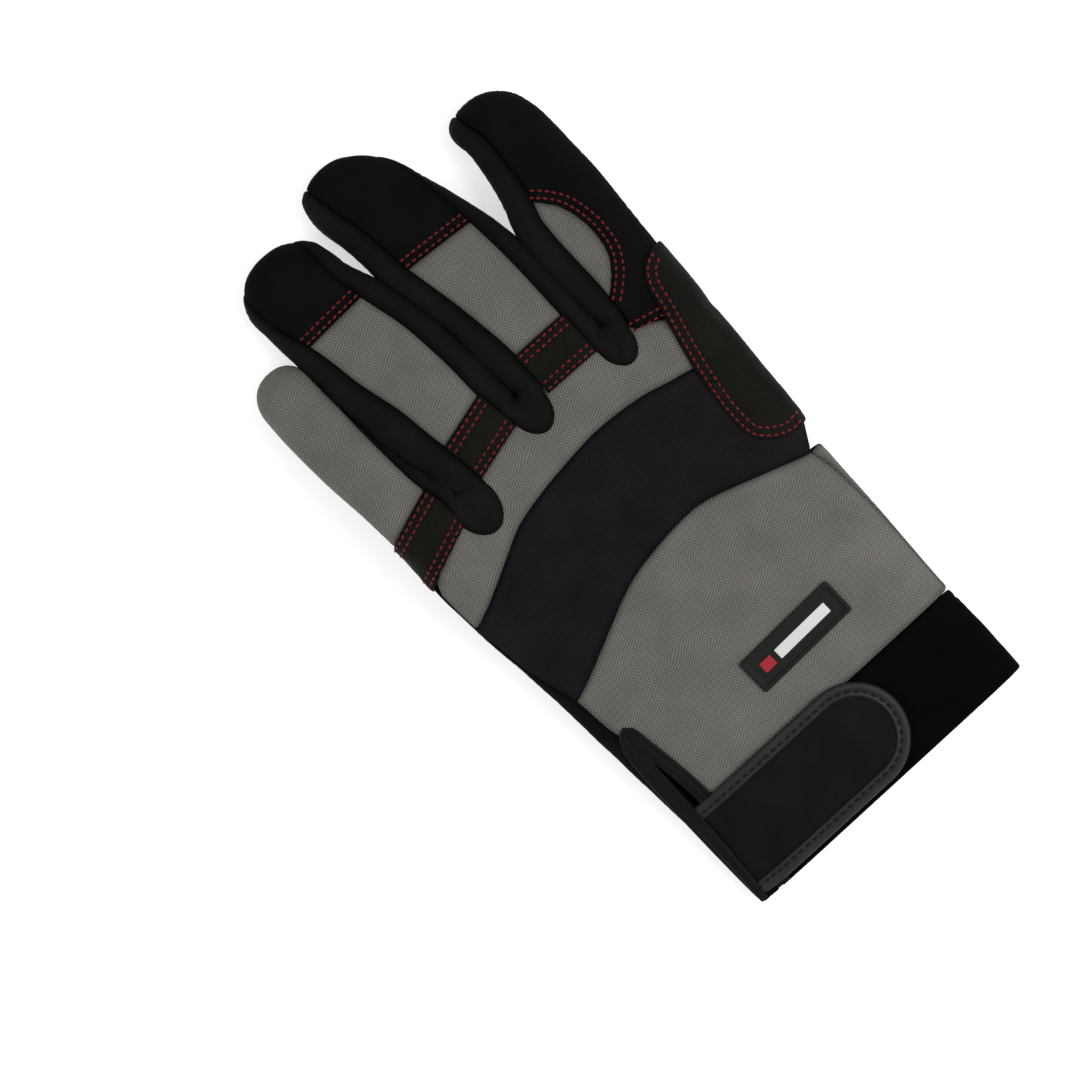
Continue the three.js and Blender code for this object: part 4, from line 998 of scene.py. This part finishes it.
def over_hand(line):
    """A line given in the plan, unrolled over the hand's back."""
    return np.stack([hand_plan(line[:, 0], line[:, 1]), line[:, 1]], axis=1)


def hand_side(side, share, start, stop):
    """A line along the hand's edge at an unrolled share, past 1 where it turns under."""
    y = np.arange(start, stop, 2.0 if stop > start else -2.0)
    centre, half = hand_line(y)
    return [tuple(p) for p in np.stack([centre + side * share * half, y], axis=1)]


SEAM_GAP = 0.15  # between the knit's two halves
FOLD_TURN = 1.16  # share of the hand's half-width at which the knit goes under the edge
fold_seam = over_hand(curve(FOLD_EDGE, 2)[::-1][1:]) + (SEAM_GAP, 0)
fold_loop = np.vstack([hand_side(1, FOLD_TURN, 88, 31), (49.5, 31.3), fold_seam])
fold_shell = sewn_panel(fold_loop, on_hand, roll=0.8, puff=0.15)
make_piece("thumb_knit", [cloth_shell, fold_shell], grey_knit, ["thumb_cloth"])
leather_shells = [sewn_panel(leather_loop, on_thumb, wall=THUMB_WALL, puff=0.1),
                  sewn_panel(inner_loop, on_thumb, wall=THUMB_WALL, spacing=2.0)]
make_piece("thumb_hide", leather_shells, black_suede, ["thumb_leather"])
patch_shell = sewn_panel(patch_loop, on_thumb, lift=0.6, wall=1.0, roll=0.45)
make_piece("thumb_heel_hide", [patch_shell], grained, ["thumb_heel_patch"])

# Back of the hand
# Grey spacer knit in two panels, below and above the knuckle band, sewn to the palm leather
# along the little finger's side and to the thumb's cloth at the index finger's side.
BAND_TOP = [
    (-58.8, 114), (-50, 117.5), (-40, 122.5), (-30, 127.5), (-20, 130), (-10, 131.5), (5, 132.8),
    (20, 131.5), (30, 129), (37, 127.2), (46, 122),
]
BAND_BOTTOM = [
    (-51.5, 79.5), (-45, 82), (-30, 89), (-20, 93.5), (-10, 96.3), (5, 98), (15, 97.3), (30, 92.5),
    (40, 89), (46, 87),
]
LITTLE_EDGE = [
    (-41.2, CUFF_SEAM), (-43.0, 43), (-44.6, 54), (-46.6, 61), (-49.9, 66), (-51.5, 79.5),
]
STRIPS_BASE = [
    # where the knuckle strips begin; the knit dips under them
    (-60, 129), (-50, 135), (-41, 139.5), (-36, 143), (-28, 145), (-20, 147.3), (-10, 149.6),
    (1.5, 150), (21, 150), (30, 146), (41, 140),
]
STRIP_DIP = 0.75


def knit_relief(x, y, edge):
    """Slow unevenness, and the sinking of the knit's edge under the knuckle strips."""
    base = np.interp(x, *np.transpose(STRIPS_BASE))
    wavy = 0.12 * ease(edge, 2, 8) * unevenness(x + 0.6 * y, y - 0.4 * x, 11, 12)
    return wavy - STRIP_DIP * ease(y - base, -1.2, 1.0)


lower_loop = over_hand(outline(LITTLE_EDGE, BAND_BOTTOM, FOLD_EDGE, [FOLD_EDGE[-1], LITTLE_EDGE[0]]))
lower_shell = sewn_panel(lower_loop, on_hand, roll=0.8, puff=0.3, relief=knit_relief)
make_piece("back_knit", [lower_shell], grey_knit, ["back_panel"])
upper_loop = over_hand(outline(
    [(-58.8, 114), (-59.3, 120), (-59.6, 131)],
    [(-59.6, 131), (-55, 136), (-48, 142), (-40, 146), (-36, 147), (-28, 148.5), (-20, 151),
     (-10, 153), (0, 154), (10, 154), (21, 154), (30, 149.5), (41, 143)],
    [(41, 143), (43.6, 133), (45.4, 126), (46, 122)],
    BAND_TOP[::-1],
))
upper_shell = sewn_panel(upper_loop, on_hand, roll=0.8, puff=0.15, folds=0.15, relief=knit_relief)
make_piece("knuckle_knit", [upper_shell], grey_knit, ["knuckle_panel"])

# Knuckle band
# An arched band of foam faced with fine dark fabric. It is thicker than the knit on each side
# of it and carries faint creases across it.
band_loop = over_hand(outline(
    BAND_BOTTOM, [(46, 87), (50, 94)], [(50, 94), (51, 108), (46, 122)], BAND_TOP[::-1],
    [(-58.8, 114), (-58, 110), (-56, 96), (-54, 88), (-51.5, 79.5)],
))
foam = knit_material("foam facing", (0.0130, 0.0108, 0.0135), (0.004, 0.0035, 0.005, 1), 0.8,
                     bump=0.3, shade=0.5, contrast=1.0)


def band_relief(x, y, edge):
    """A slight crown, and faint creases in the foam."""
    creases = 0.35 * np.abs(unevenness(0.5 * x, y + 0.3 * x, 9, 21)) ** 1.5
    return 0.35 * ease(edge, 0.5, 6) - creases * ease(edge, 2, 6)


band_shell = sewn_panel(band_loop, on_hand, lift=0.5, wall=2.0, roll=1.1, puff=0.35,
                        relief=band_relief)
knuckle_foam = make_piece("knuckle_foam", [band_shell], foam, ["knuckle_band"])

# Side walls of the fingers
# One stretchy black piece for each gap between two fingers. It lines both fingers' sides, comes
# down onto the knuckles in a rounded drop and is creased along its middle.
BACK_EDGES = {
    # y, share of the half-width at the little finger's side, the same at the index side
    "index": [(126, -0.62, 1.3), (145, -0.62, 1.3), (159, -0.5, 1.3), (187, -0.5, 1.3),
              (194.5, -0.45, 1.3), (211, -0.51, 1.3), (223, -0.48, 1.3), (240, -0.48, 1.3)],
    "middle": [(137.6, -0.62, 0.62), (165, -0.5, 0.64), (184, -0.6, 0.66), (203, -0.59, 0.78),
               (221.5, -0.56, 0.92), (234.3, -0.62, 1.03), (254, -0.7, 1.3)],
    "ring": [(137, -0.5, 0.66), (158.7, -0.475, 0.6), (174, -0.48, 0.64), (190, -0.62, 0.64),
             (206.6, -0.67, 0.62), (219.7, -0.84, 0.7), (230.6, -1.1, 0.85), (246, -1.3, 1.0)],
    "little": [(126, -1.4, 0.62), (153.5, -1.4, 0.66), (165, -1.4, 0.78), (175, -1.4, 0.89),
               (190, -1.4, 1.02), (217.5, -1.4, 1.4)],
}
SIDE_SEAM = 1.293  # unrolled share at which a finger's back meets the palm leather


def unrolled_share(share):
    size = np.abs(share)
    over = (np.minimum(size, 1) - FINGER_FLAT) / (1 - FINGER_FLAT)
    turned = FINGER_FLAT + (1 - FINGER_FLAT) * np.arcsin(np.clip(over, 0, 1))
    out = np.where(size <= FINGER_FLAT, size, turned)
    out = np.where(size > 1, np.minimum(out + (size - 1), SIDE_SEAM), out)
    return np.sign(share) * out


def finger_side(name, column, start, stop, share=None):
    """A line along a finger at its back's edge, or at a given unrolled share."""
    rows, round_y, _ = FINGER_LINES[name]
    y = np.arange(start, stop, 1.5)
    at = np.full(len(y), share) if share else unrolled_share(follow(BACK_EDGES[name], column, y))
    return np.stack([follow(rows, 1, y) + at * follow(rows, 2, np.minimum(y, round_y)), y], axis=1)


def finger_end(name, right, left, steps=26):
    """Round a finger's tip from its right edge to its left edge, along its seam with the palm."""
    rows, round_y, tip = FINGER_LINES[name]
    half = follow(rows, 2, round_y)

    def angle(edge):
        return math.acos(min(abs(edge) / SIDE_SEAM, 1) ** (TIP_POWER / 2) * (1 if edge > 0 else -1))

    turn = np.linspace(angle(right), angle(left), steps)
    dx = SIDE_SEAM * half * np.sign(np.cos(turn)) * np.abs(np.cos(turn)) ** (2 / TIP_POWER)
    y = round_y + SIDE_SEAM * tip * np.abs(np.sin(turn)) ** (2 / TIP_POWER)
    return np.stack([follow(rows, 1, np.minimum(y, round_y + tip)) + dx, y], axis=1)


def edge_at_tip(name, column):
    """Unrolled share at which an edge of a finger's back reaches the rounded tip."""
    round_y = FINGER_LINES[name][1]
    return float(unrolled_share(follow(BACK_EDGES[name], column, np.array(round_y + 2.0))))


stretch = suede_material("stretch cloth", (0.0070, 0.0069, 0.0063), 0.68, 0.004, 2.4, 0.35, 0.7,
                         gloss=0.05)
DROPS = [
    # left finger, right finger, middle of the drop's arc, its radii, crease from top to bottom,
    # how far up the two fingers touch and how much they swell there
    ("side_wall_index_middle", "middle", "index", (25.9, 148.5), (5.6, 8.3),
     [(26.5, 158), (26.4, 152), (26.1, 148), (24.4, 144.6), (23.4, 142.8)], 190, 0.45),
    ("side_wall_middle_ring", "ring", "middle", (-4.8, 150.8), (6.1, 8.7),
     [(-5.5, 160), (-5.7, 155), (-5.9, 149.5), (-5.2, 146.2), (-4.5, 144.2)], 205, 0.45),
    ("side_wall_ring_little", "little", "ring", (-34.9, 141), (7, 10),
     [(-36.4, 152), (-36, 147), (-37.2, 140), (-36.8, 136.8), (-35.4, 134.4)], 209, 1.05),
]


def drop_outline(left, right, middle, radii):
    """The rounded drop on the knuckles, up to where it parts between the two fingers."""
    turn = np.linspace(math.pi, 2 * math.pi, 22)
    arc = np.stack([middle[0] + radii[0] * np.cos(turn), middle[1] + radii[1] * np.sin(turn)], axis=1)
    right_side = finger_side(right, 1, middle[1] + 3, middle[1] + 12)
    left_side = finger_side(left, 2, middle[1] + 3, middle[1] + 12)
    return np.vstack([arc, right_side, left_side[::-1]])


def wall_outline(finger, column, side, low):
    """One finger's share of a side wall, from its back's edge down to the palm's seam."""
    round_y = FINGER_LINES[finger][1]
    inner = finger_side(finger, column, low, round_y)
    outer = finger_side(finger, column, low + 5, round_y, share=side * SIDE_SEAM)
    at_tip = edge_at_tip(finger, column)
    if abs(at_tip) < SIDE_SEAM - 0.1:
        if side > 0:
            end = finger_end(finger, SIDE_SEAM, at_tip, steps=12)
        else:
            end = finger_end(finger, at_tip, -SIDE_SEAM, steps=12)[::-1]
        return np.vstack([inner[::-1], outer, end])
    seam = finger_side(finger, column, low, round_y, share=side * SIDE_SEAM)
    keep = np.abs(inner[:, 0] - seam[:, 0]) > 1.0
    return np.vstack([inner[keep][::-1], outer[: max(keep.sum() - 3, 4)]])


def wall_relief(top, swell):
    """Slow unevenness, and the swelling where two fingers press together."""

    def relief(x, y, edge):
        height = 0.35 * unevenness(3 * x, y, 9, 31) + swell * (1 - ease(y, top - TOUCH_FADE, top))
        return height * ease(edge, 0.5, 4)

    return relief


DROP_LIFT = 0.8
DROP_DIP = 1.5  # how far the drop sinks between the fingers at its upper end
TOUCH_FADE = 14
for name, left, right, middle, radii, crease, top, swell in DROPS:
    low = middle[1] + 2.0
    shells = [sewn_panel(
        drop_outline(left, right, middle, radii), on_hand, lift=DROP_LIFT, wall=1.8, roll=0.8,
        puff=0.5, rows=[(curve(crease), 0.75, 0.9)], spacing=0.8,
        relief=lambda x, y, edge: -DROP_DIP * ease(y, middle[1] + 3, middle[1] + 9))]
    for finger, column, side in ((left, 2, 1), (right, 1, -1)):
        shells.append(sewn_panel(
            wall_outline(finger, column, side, low), on_finger(finger), lift=0.45, roll=0.8,
            puff=0.75, spacing=1.1, relief=wall_relief(top, swell)))
    make_piece(name + "_cloth", shells, stretch, [name])

# Backs of middle, ring and little finger
# Each finger has a strip of grained leather over its knuckle and grey knit above it; middle and
# ring finger end in a cap of black suede, sewn on with two red rows.
CROSS_SEAMS = {
    # y at the little finger's side and at the index side
    "middle": ((150, 149.6), (164.1, 163.9), (203.8, 202)),
    "ring": ((145, 149.5), (158.5, 163), (206.5, 207.3)),
    "little": ((130.5, 138.5), (146.5, 153.5), None),
}
LITTLE_STRIP_EDGE = [(-62, 130.5), (-63.3, 136), (-63.2, 141), (-63.2, 146.5)]
STRIP_ROWS = (1.0, 3.1)  # how far inside a cross seam the rows of stitches run
CAP_ROWS = (1.0, 3.2)
ROW_INSET, LITTLE_ROW_INSET = 1.2, 2.4  # how far from a finger's edge a row stops
ROOT_TURN = (134, 144)  # y over which the hand's back turns into a finger's outer side


def on_root(name):
    """The hand's back, passing into the outer side of the little or the index finger."""
    upper = on_finger(name)

    def place(x, y, lift):
        part = ease(y, *ROOT_TURN)[..., None]
        return on_hand(x, np.minimum(y, ROOT_TURN[1]), lift) * (1 - part) + upper(x, y, lift) * part

    return place


def edge_place(name, column, y):
    """The place at a given y on one edge of a finger's back."""
    return finger_side(name, column, y, y + 0.1)[0]


def finger_panel(name, low, high=None):
    """Outline of part of a finger's back between two cross seams, or up to the tip."""
    round_y = FINGER_LINES[name][1]
    top = (round_y, round_y) if high is None else high
    left = finger_side(name, 1, low[0], top[0])
    if name == "little" and high is not None:
        left = curve(LITTLE_STRIP_EDGE, 1.5)
    right = finger_side(name, 2, low[1], top[1])
    if high is None:
        end = finger_end(name, edge_at_tip(name, 2), edge_at_tip(name, 1))
    else:
        end = np.vstack([edge_place(name, 2, top[1]), edge_place(name, 1, top[0])])
    return spaced(np.vstack([right, end, left[::-1]]), 0.2)


def across(name, seam, gap):
    """A row across a finger beside a cross seam, gap above it (or below, if negative)."""
    left = edge_place(name, 1, seam[0] + gap)
    right = edge_place(name, 2, seam[1] + gap)
    along = (right - left) / np.linalg.norm(right - left)
    outer = LITTLE_ROW_INSET if name == "little" else ROW_INSET
    return np.linspace(left + along * outer, right - along * ROW_INSET, 40)


for name, (base, strip, cap) in CROSS_SEAMS.items():
    strip_rows = [across(name, base, gap) for gap in STRIP_ROWS]
    strip_rows += [across(name, strip, -gap) for gap in reversed(STRIP_ROWS)]
    cap_rows = []
    strip_shell = sewn_panel(
        finger_panel(name, base, strip), on_root(name) if name == "little" else on_finger(name),
        lift=0.85, wall=2.2, roll=0.45, puff=0.2,
        rows=[(row, 0.2, 0.5) for row in strip_rows])
    strip_piece = make_piece(name + "_strip_hide", [strip_shell], grained, [name + "_strip"])
    knit_shell = sewn_panel(finger_panel(name, strip, cap), on_finger(name), roll=0.7, puff=0.35)
    make_piece(name + "_knit", [knit_shell], grey_knit, [name + "_panel"])
    sewn_on = [strip_piece]
    if cap:
        cap_rows = [across(name, cap, gap) for gap in CAP_ROWS]
        cap_shell = sewn_panel(
            finger_panel(name, cap), on_finger(name), lift=0.2, roll=0.6, puff=0.3,
            rows=[(row, 0.25, 0.55) for row in cap_rows])
        sewn_on.append(
            make_piece(name + "_cap_hide", [cap_shell], black_suede, [name + "_cap"]))
    sew(name + "_stitches", strip_rows + cap_rows, sewn_on, red_thread)

# Index finger
# Black suede from the knuckle to the tip and round the outer side, with a half-moon window of
# grey knit at the inner side, framed by two red rows.
WINDOW = [
    # the window's curved edge, from its lower to its upper corner
    (33.2, 158.6), (36.2, 161), (39.6, 164.5), (42, 169), (42.9, 175), (42.7, 180),
    (41.3, 186), (38.8, 190.3), (35.6, 193.8),
]
WINDOW_TOP = 194
WINDOW_ROWS = (1.3, 3.4)  # how far outside the window its two rows of stitches run
WINDOW_DEPTH, WINDOW_EDGE_DIP = 1.6, 0.5
INDEX_BASE = (146.8, 139.5)  # y of the lower seam at its two ends
INDEX_ROWS = (0, 2.1)
window_loop = spaced(np.vstack([curve(WINDOW), finger_side("index", 1, WINDOW[0][1], WINDOW_TOP)[::-1]]))
window_rows = [beside(curve(WINDOW)[::-1], gap) for gap in WINDOW_ROWS]
index_rows = [np.linspace((31, 147.2 + gap), (41, 144.6 + gap), 30) for gap in INDEX_ROWS]
index_loop = finger_panel("index", INDEX_BASE)


def window_dip(x, y, _):
    """The suede sinks inside the window, where the knit covers it, and a little at its edge."""
    spots = np.stack([x.ravel(), y.ravel()], axis=1)
    inside = is_inside(spots, window_loop).reshape(np.shape(x))
    near = distance_to(spots, window_loop).reshape(np.shape(x))
    return np.where(inside, -WINDOW_DEPTH * ease(near, 0, 0.5), -WINDOW_EDGE_DIP * (1 - ease(near, 0, 0.7)))


index_shell = sewn_panel(
    index_loop, on_finger("index"), lift=0.15, roll=0.8, puff=0.3, relief=window_dip, spacing=1.0,
    rows=[(row, 0.22, 0.5) for row in window_rows + index_rows])
index_hide = make_piece("index_hide", [index_shell], black_suede, ["index_shell"])
window_shell = sewn_panel(window_loop, on_finger("index"), roll=0.6, puff=0.25)
make_piece("window_knit", [window_shell], grey_knit, ["index_window"])
sew("index_stitches", window_rows + index_rows, [index_hide], red_thread)

# Saddle patch
# Grained leather over the crotch of thumb and index finger, from the back round the index edge,
# held by two red rows.
SADDLE = [
    # the patch's edge on the back, from beside the index finger to the thumb
    (54.5, 161), (49.2, 160.2), (45.3, 157.5), (42.9, 153), (41.4, 145.5), (39.9, 139.5),
    (37.5, 129), (35.7, 118.5), (35, 111), (35.4, 103.5), (37.2, 99.8), (41.4, 96.3),
    (46.2, 94.5), (50, 94.8),
]
SADDLE_TURN, SADDLE_REACH = 1.09, 57.3  # how far it goes round the hand's edge: unrolled share, greatest x
SADDLE_ROWS = (1.3, 3.6)
SADDLE_ROWS_END = 50.5  # beyond this x the patch turns down and has no rows
saddle_side = np.array(hand_side(1, SADDLE_TURN, 96, 160))
saddle_side[:, 0] = np.minimum(saddle_side[:, 0], SADDLE_REACH)
saddle_loop = spaced(np.vstack([over_hand(curve(SADDLE)), saddle_side]))
saddle_rows = [outline_inside(saddle_loop, gap) for gap in SADDLE_ROWS]
saddle_rows = [row[row[:, 0] < SADDLE_ROWS_END] for row in saddle_rows]
saddle_shell = sewn_panel(saddle_loop, on_root("index"), lift=1.5, wall=2.2, roll=0.7, puff=0.25,
                          rows=[(row, 0.25, 0.55) for row in saddle_rows])
saddle = make_piece("saddle_hide", [saddle_shell], grained, ["saddle_patch"])
sew("saddle_stitches", saddle_rows, [saddle], red_thread)

# Cuff band and vent
# A velvety black elastic band all round the wrist but for a short vent at the little finger's
# edge; one folded tape binds both edges of the vent.
CUFF_TOP = 30.8
CUFF_HALVES = [
    # hand's edge that it goes round, its end at the vent, unrolled share of its far end
    (1, [(-43.3, 0), (-43.2, 18), (-43.6, CUFF_TOP)], 2.5),
    (-1, [(-45, 0), (-44.9, 18), (-45.4, CUFF_TOP)], 1.68),
]
CUFF_GROOVES = (3.2, 27.8)  # y of the woven-in lines beside the band's two edges
GROOVE_DEPTH = 0.25


def hand_turned(side, share, y):
    """A place at an unrolled share of the hand's half-width."""
    centre, half = hand_line(np.array(y, float))
    return float(centre + side * share * half), y


def groove(away, depth, flat, slope):
    """A groove of some depth, from the distance to its middle line."""
    return -depth * (1 - ease(np.abs(away), flat, slope))


velvet = suede_material("velvet band", (0.0022, 0.0022, 0.0027), 0.95, 0.008, 3.0, 0.3, 0.3,
                        gloss=0.04)
cuff_shells = []
for side, vent_end, far_share in CUFF_HALVES:
    hem = np.linspace(vent_end[0], hand_turned(side, far_share, 0), 120)
    upper = np.linspace(hand_turned(side, far_share, CUFF_TOP), vent_end[-1], 120)
    far_end = np.linspace(hem[-1], upper[0], 24)
    cuff_loop = np.vstack([hem, far_end[1:-1], upper, curve(vent_end)[::-1][1:-1]])
    cuff_shells.append(sewn_panel(
        cuff_loop, on_hand, roll=0.6, puff=0.15, folds=0.2, spacing=1.4, rings=(0.3, 0.8),
        relief=lambda x, y, edge: sum(groove(y - line, GROOVE_DEPTH, 0.1, 0.5) for line in CUFF_GROOVES)))
make_piece("cuff_velvet", cuff_shells, velvet, ["cuff_band"])


def sweep(line, profile, place):
    """A bar of constant profile along a line in the unrolled plan; profile points are
    (sideways, height), anticlockwise as seen along the line. Returns a shell."""
    along = np.gradient(line, axis=0)
    along /= np.linalg.norm(along, axis=1)[:, None]
    side = np.stack([-along[:, 1], along[:, 0]], axis=1)
    rings = []
    for sideways, height in profile:
        spot = line + side * sideways
        rings.append(place(spot[:, 0], spot[:, 1], np.full(len(line), height)))
    vertices = np.stack(rings, axis=1).reshape(-1, 3)
    count, n = len(profile), len(line)
    faces = []
    for i in range(0, (n - 1) * count, count):
        for k in range(count):
            m = (k + 1) % count
            faces.append([i + k, i + m, i + count + m, i + count + k])
    faces.append(list(reversed(range(count))))
    faces.append(list(range((n - 1) * count, n * count)))
    edges = np.tile([max(height, 0) * 2.0 for _, height in profile], n)
    offsets = np.tile([sideways for sideways, _ in profile], n)
    flats = np.stack([np.repeat(np.arange(n) * 1.0, count), offsets], axis=1)
    return vertices, faces, edges, flats


BINDING = [
    # up the vent's outer edge, round its top and down its inner edge
    (-49.9, 0.4), (-49.7, 18), (-49.5, 37.5), (-49.3, 50), (-48.9, 58.5), (-48, 62.6), (-46.9, 63),
    (-46, 59.5), (-45, 52.5), (-43.7, 43.5), (-43, 34), (-42.8, 18), (-42.8, 0.4),
]
BINDING_PROFILE = [
    # sideways, height: a folded tape with two ribs
    (-2.2, -0.3), (2.0, -0.3), (2.15, 0.5), (1.9, 1.1), (1.35, 1.35), (0.9, 0.95), (0.5, 0.95),
    (0.1, 1.4), (-0.4, 1.45), (-0.8, 1.0), (-1.2, 1.0), (-1.6, 1.35), (-2.1, 0.9),
]
tape = suede_material("binding tape", (0.0062, 0.0064, 0.0060), 0.55, 0.005, 3.0, 0.25, 0.2,
                      gloss=0.08)
binding_shell = sweep(over_hand(curve(BINDING, 1.2)), BINDING_PROFILE, on_hand)
make_piece("vent_tape", [binding_shell], tape, ["vent_binding"])

# Closing strap
# A strap of smooth synthetic leather with a rounded end, sewn to the wrist at the little
# finger's side. A tape covers its edge, held by one row of black stitches in a groove.
STRAP_START, STRAP_LENGTH, STRAP_WIDTH, STRAP_MIDDLE = -48.6, 65.2, 32.5, 17.7
STRAP_LIFT = 1.9
STRAP_DIVE = (-48.5, -42.5)  # x over which the sewn end comes up from under the binding
STRAP_INSET, RIM_INSET, STITCH_INSET = 1.5, 2.1, 2.75
STRAP_GROOVE, STRAP_GROOVE_DEPTH = 2.6, 0.35


def strap_line(inset, start=STRAP_START):
    """A line inside the strap's edge, from its sewn end round the free end and back."""
    half = STRAP_WIDTH / 2 - inset
    centre = STRAP_START + STRAP_LENGTH - STRAP_WIDTH / 2
    turn = np.linspace(-math.pi / 2, math.pi / 2, 40)
    round_end = np.stack([centre + half * np.cos(turn), STRAP_MIDDLE + half * np.sin(turn)], axis=1)
    straight = np.arange(start, centre, 1.0)
    low = np.stack([straight, np.full(len(straight), STRAP_MIDDLE - half)], axis=1)
    high = np.stack([straight[::-1], np.full(len(straight), STRAP_MIDDLE + half)], axis=1)
    return np.vstack([low, round_end, high])


def on_strap(x, y, lift):
    """Over the cuff; the sewn end dives under the binding of the vent."""
    return on_hand(x, y, lift - STRAP_LIFT * (1 - ease(x, *STRAP_DIVE)))


smooth_hide = suede_material("smooth synthetic leather", (0.0048, 0.0049, 0.0050), 0.5, 0.0, 1.2,
                             0.25, 0.15, gloss=0.07)
strap_shell = sewn_panel(
    strap_line(STRAP_INSET), on_strap, lift=STRAP_LIFT, wall=1.7, roll=0.3, puff=0.25, folds=0.45,
    spacing=1.1,
    relief=lambda x, y, edge: groove(edge - STRAP_GROOVE, STRAP_GROOVE_DEPTH, 0.15, 0.6))
make_piece("strap_hide", [strap_shell], smooth_hide, ["strap_tab"])

RIM_PROFILE = [
    # sideways, height: a flat tape with a stitched groove near its inner edge
    (2.1, 1.9), (1.85, 2.4), (1.4, 2.45), (1.0, 2.1), (0.3, 2.1), (-0.1, 2.45), (-0.7, 2.5),
    (-1.35, 2.35), (-1.9, 1.9), (-2.1, 1.1), (-1.95, 0.15), (1.9, 0.15),
]
rim_hide = suede_material("strap edge tape", (0.0215, 0.0217, 0.0213), 0.5, 0.0, 2.0, 0.25, 0.1,
                          gloss=0.17)
rim_shell = sweep(strap_line(RIM_INSET), RIM_PROFILE, on_strap)
rim = make_piece("strap_edge_tape", [rim_shell], rim_hide, ["strap_rim"])
black_thread = thread_material("black thread", (0.006, 0.006, 0.006))
sew("strap_stitches", [strap_line(STITCH_INSET, -46)], [rim], black_thread, width=0.62,
    length=1.9, pitch=2.7, seed=9)

# Label
# A moulded rubber badge with a raised rim, sewn square on the back of the hand. It carries no
# name, only two plain raised bars.
LABEL_MIDDLE, LABEL_SIZE, LABEL_TURN = (7.2, 51.3), (34.5, 11.5), math.radians(1.8)
LABEL_RIM, LABEL_RIM_HEIGHT = (1.1, 1.35), 0.45  # where the rim slopes down inside, and its height
LABEL_BARS = [
    # name, middle and size on the plate, colour
    ("label_light_bar", (2.6, 0), (19.5, 3.4), (0.72, 0.72, 0.70)),
    ("label_red_bar", (-11.0, 0), (4.2, 3.4), (0.36, 0.02, 0.028)),
]


def label_rectangle(middle=(0, 0), size=LABEL_SIZE, radius=0.8):
    """A rectangle with rounded corners on the label, turned as the label is."""
    half_width, half_height = size[0] / 2, size[1] / 2
    corners = []
    for cx, cy, first in ((1, -1, -90), (1, 1, 0), (-1, 1, 90), (-1, -1, 180)):
        for turn in np.radians(first + np.linspace(0, 90, 6)):
            corners.append((middle[0] + cx * (half_width - radius) + radius * math.cos(turn),
                            middle[1] + cy * (half_height - radius) + radius * math.sin(turn)))
    p = divided(np.array(corners), 0.5)
    turned = np.stack([p[:, 0] * math.cos(LABEL_TURN) - p[:, 1] * math.sin(LABEL_TURN),
                       p[:, 0] * math.sin(LABEL_TURN) + p[:, 1] * math.cos(LABEL_TURN)], axis=1)
    return turned + LABEL_MIDDLE


def rubber_material(name, colour, roughness):
    """Moulded rubber: fine even grain."""
    material, tree, skin = new_material(name, roughness, 0.2)
    fine = node(tree, "ShaderNodeGroup", [("Fibre", 4.0), ("Contrast", 0.3)], node_tree=grain)
    toned = node(tree, "ShaderNodeVectorMath", [(0, colour), (3, fine.outputs["Tone"])],
                 operation="SCALE")
    raised = node(tree, "ShaderNodeBump", [("Height", fine.outputs["Height"]), ("Strength", 0.15),
                  ("Distance", 0.0002)])
    tree.links.new(toned.outputs[0], skin.inputs["Base Color"])
    tree.links.new(raised.outputs[0], skin.inputs["Normal"])
    return material


black_rubber = rubber_material("black rubber", (0.0066, 0.0074, 0.0058), 0.6)
plate_shell = sewn_panel(
    label_rectangle(), on_hand, lift=1.1, wall=1.0, roll=0.3, puff=0.0, folds=0.0, spacing=1.0,
    rings=(0.15, 0.3, 0.8, 1.15, 1.35),
    relief=lambda x, y, edge: LABEL_RIM_HEIGHT * (1 - ease(edge, *LABEL_RIM)))
make_piece("label_rubber", [plate_shell], black_rubber, ["label_plate"])
for name, middle, size, colour in LABEL_BARS:
    bar = sewn_panel(label_rectangle(middle, size, 0.3), on_hand, lift=1.4, wall=0.6, roll=0.15,
                     puff=0.0, folds=0.0, spacing=1.0, rings=(0.1, 0.2))
    make_piece(name, [bar], rubber_material(name.replace("_", " "), colour, 0.45), [])
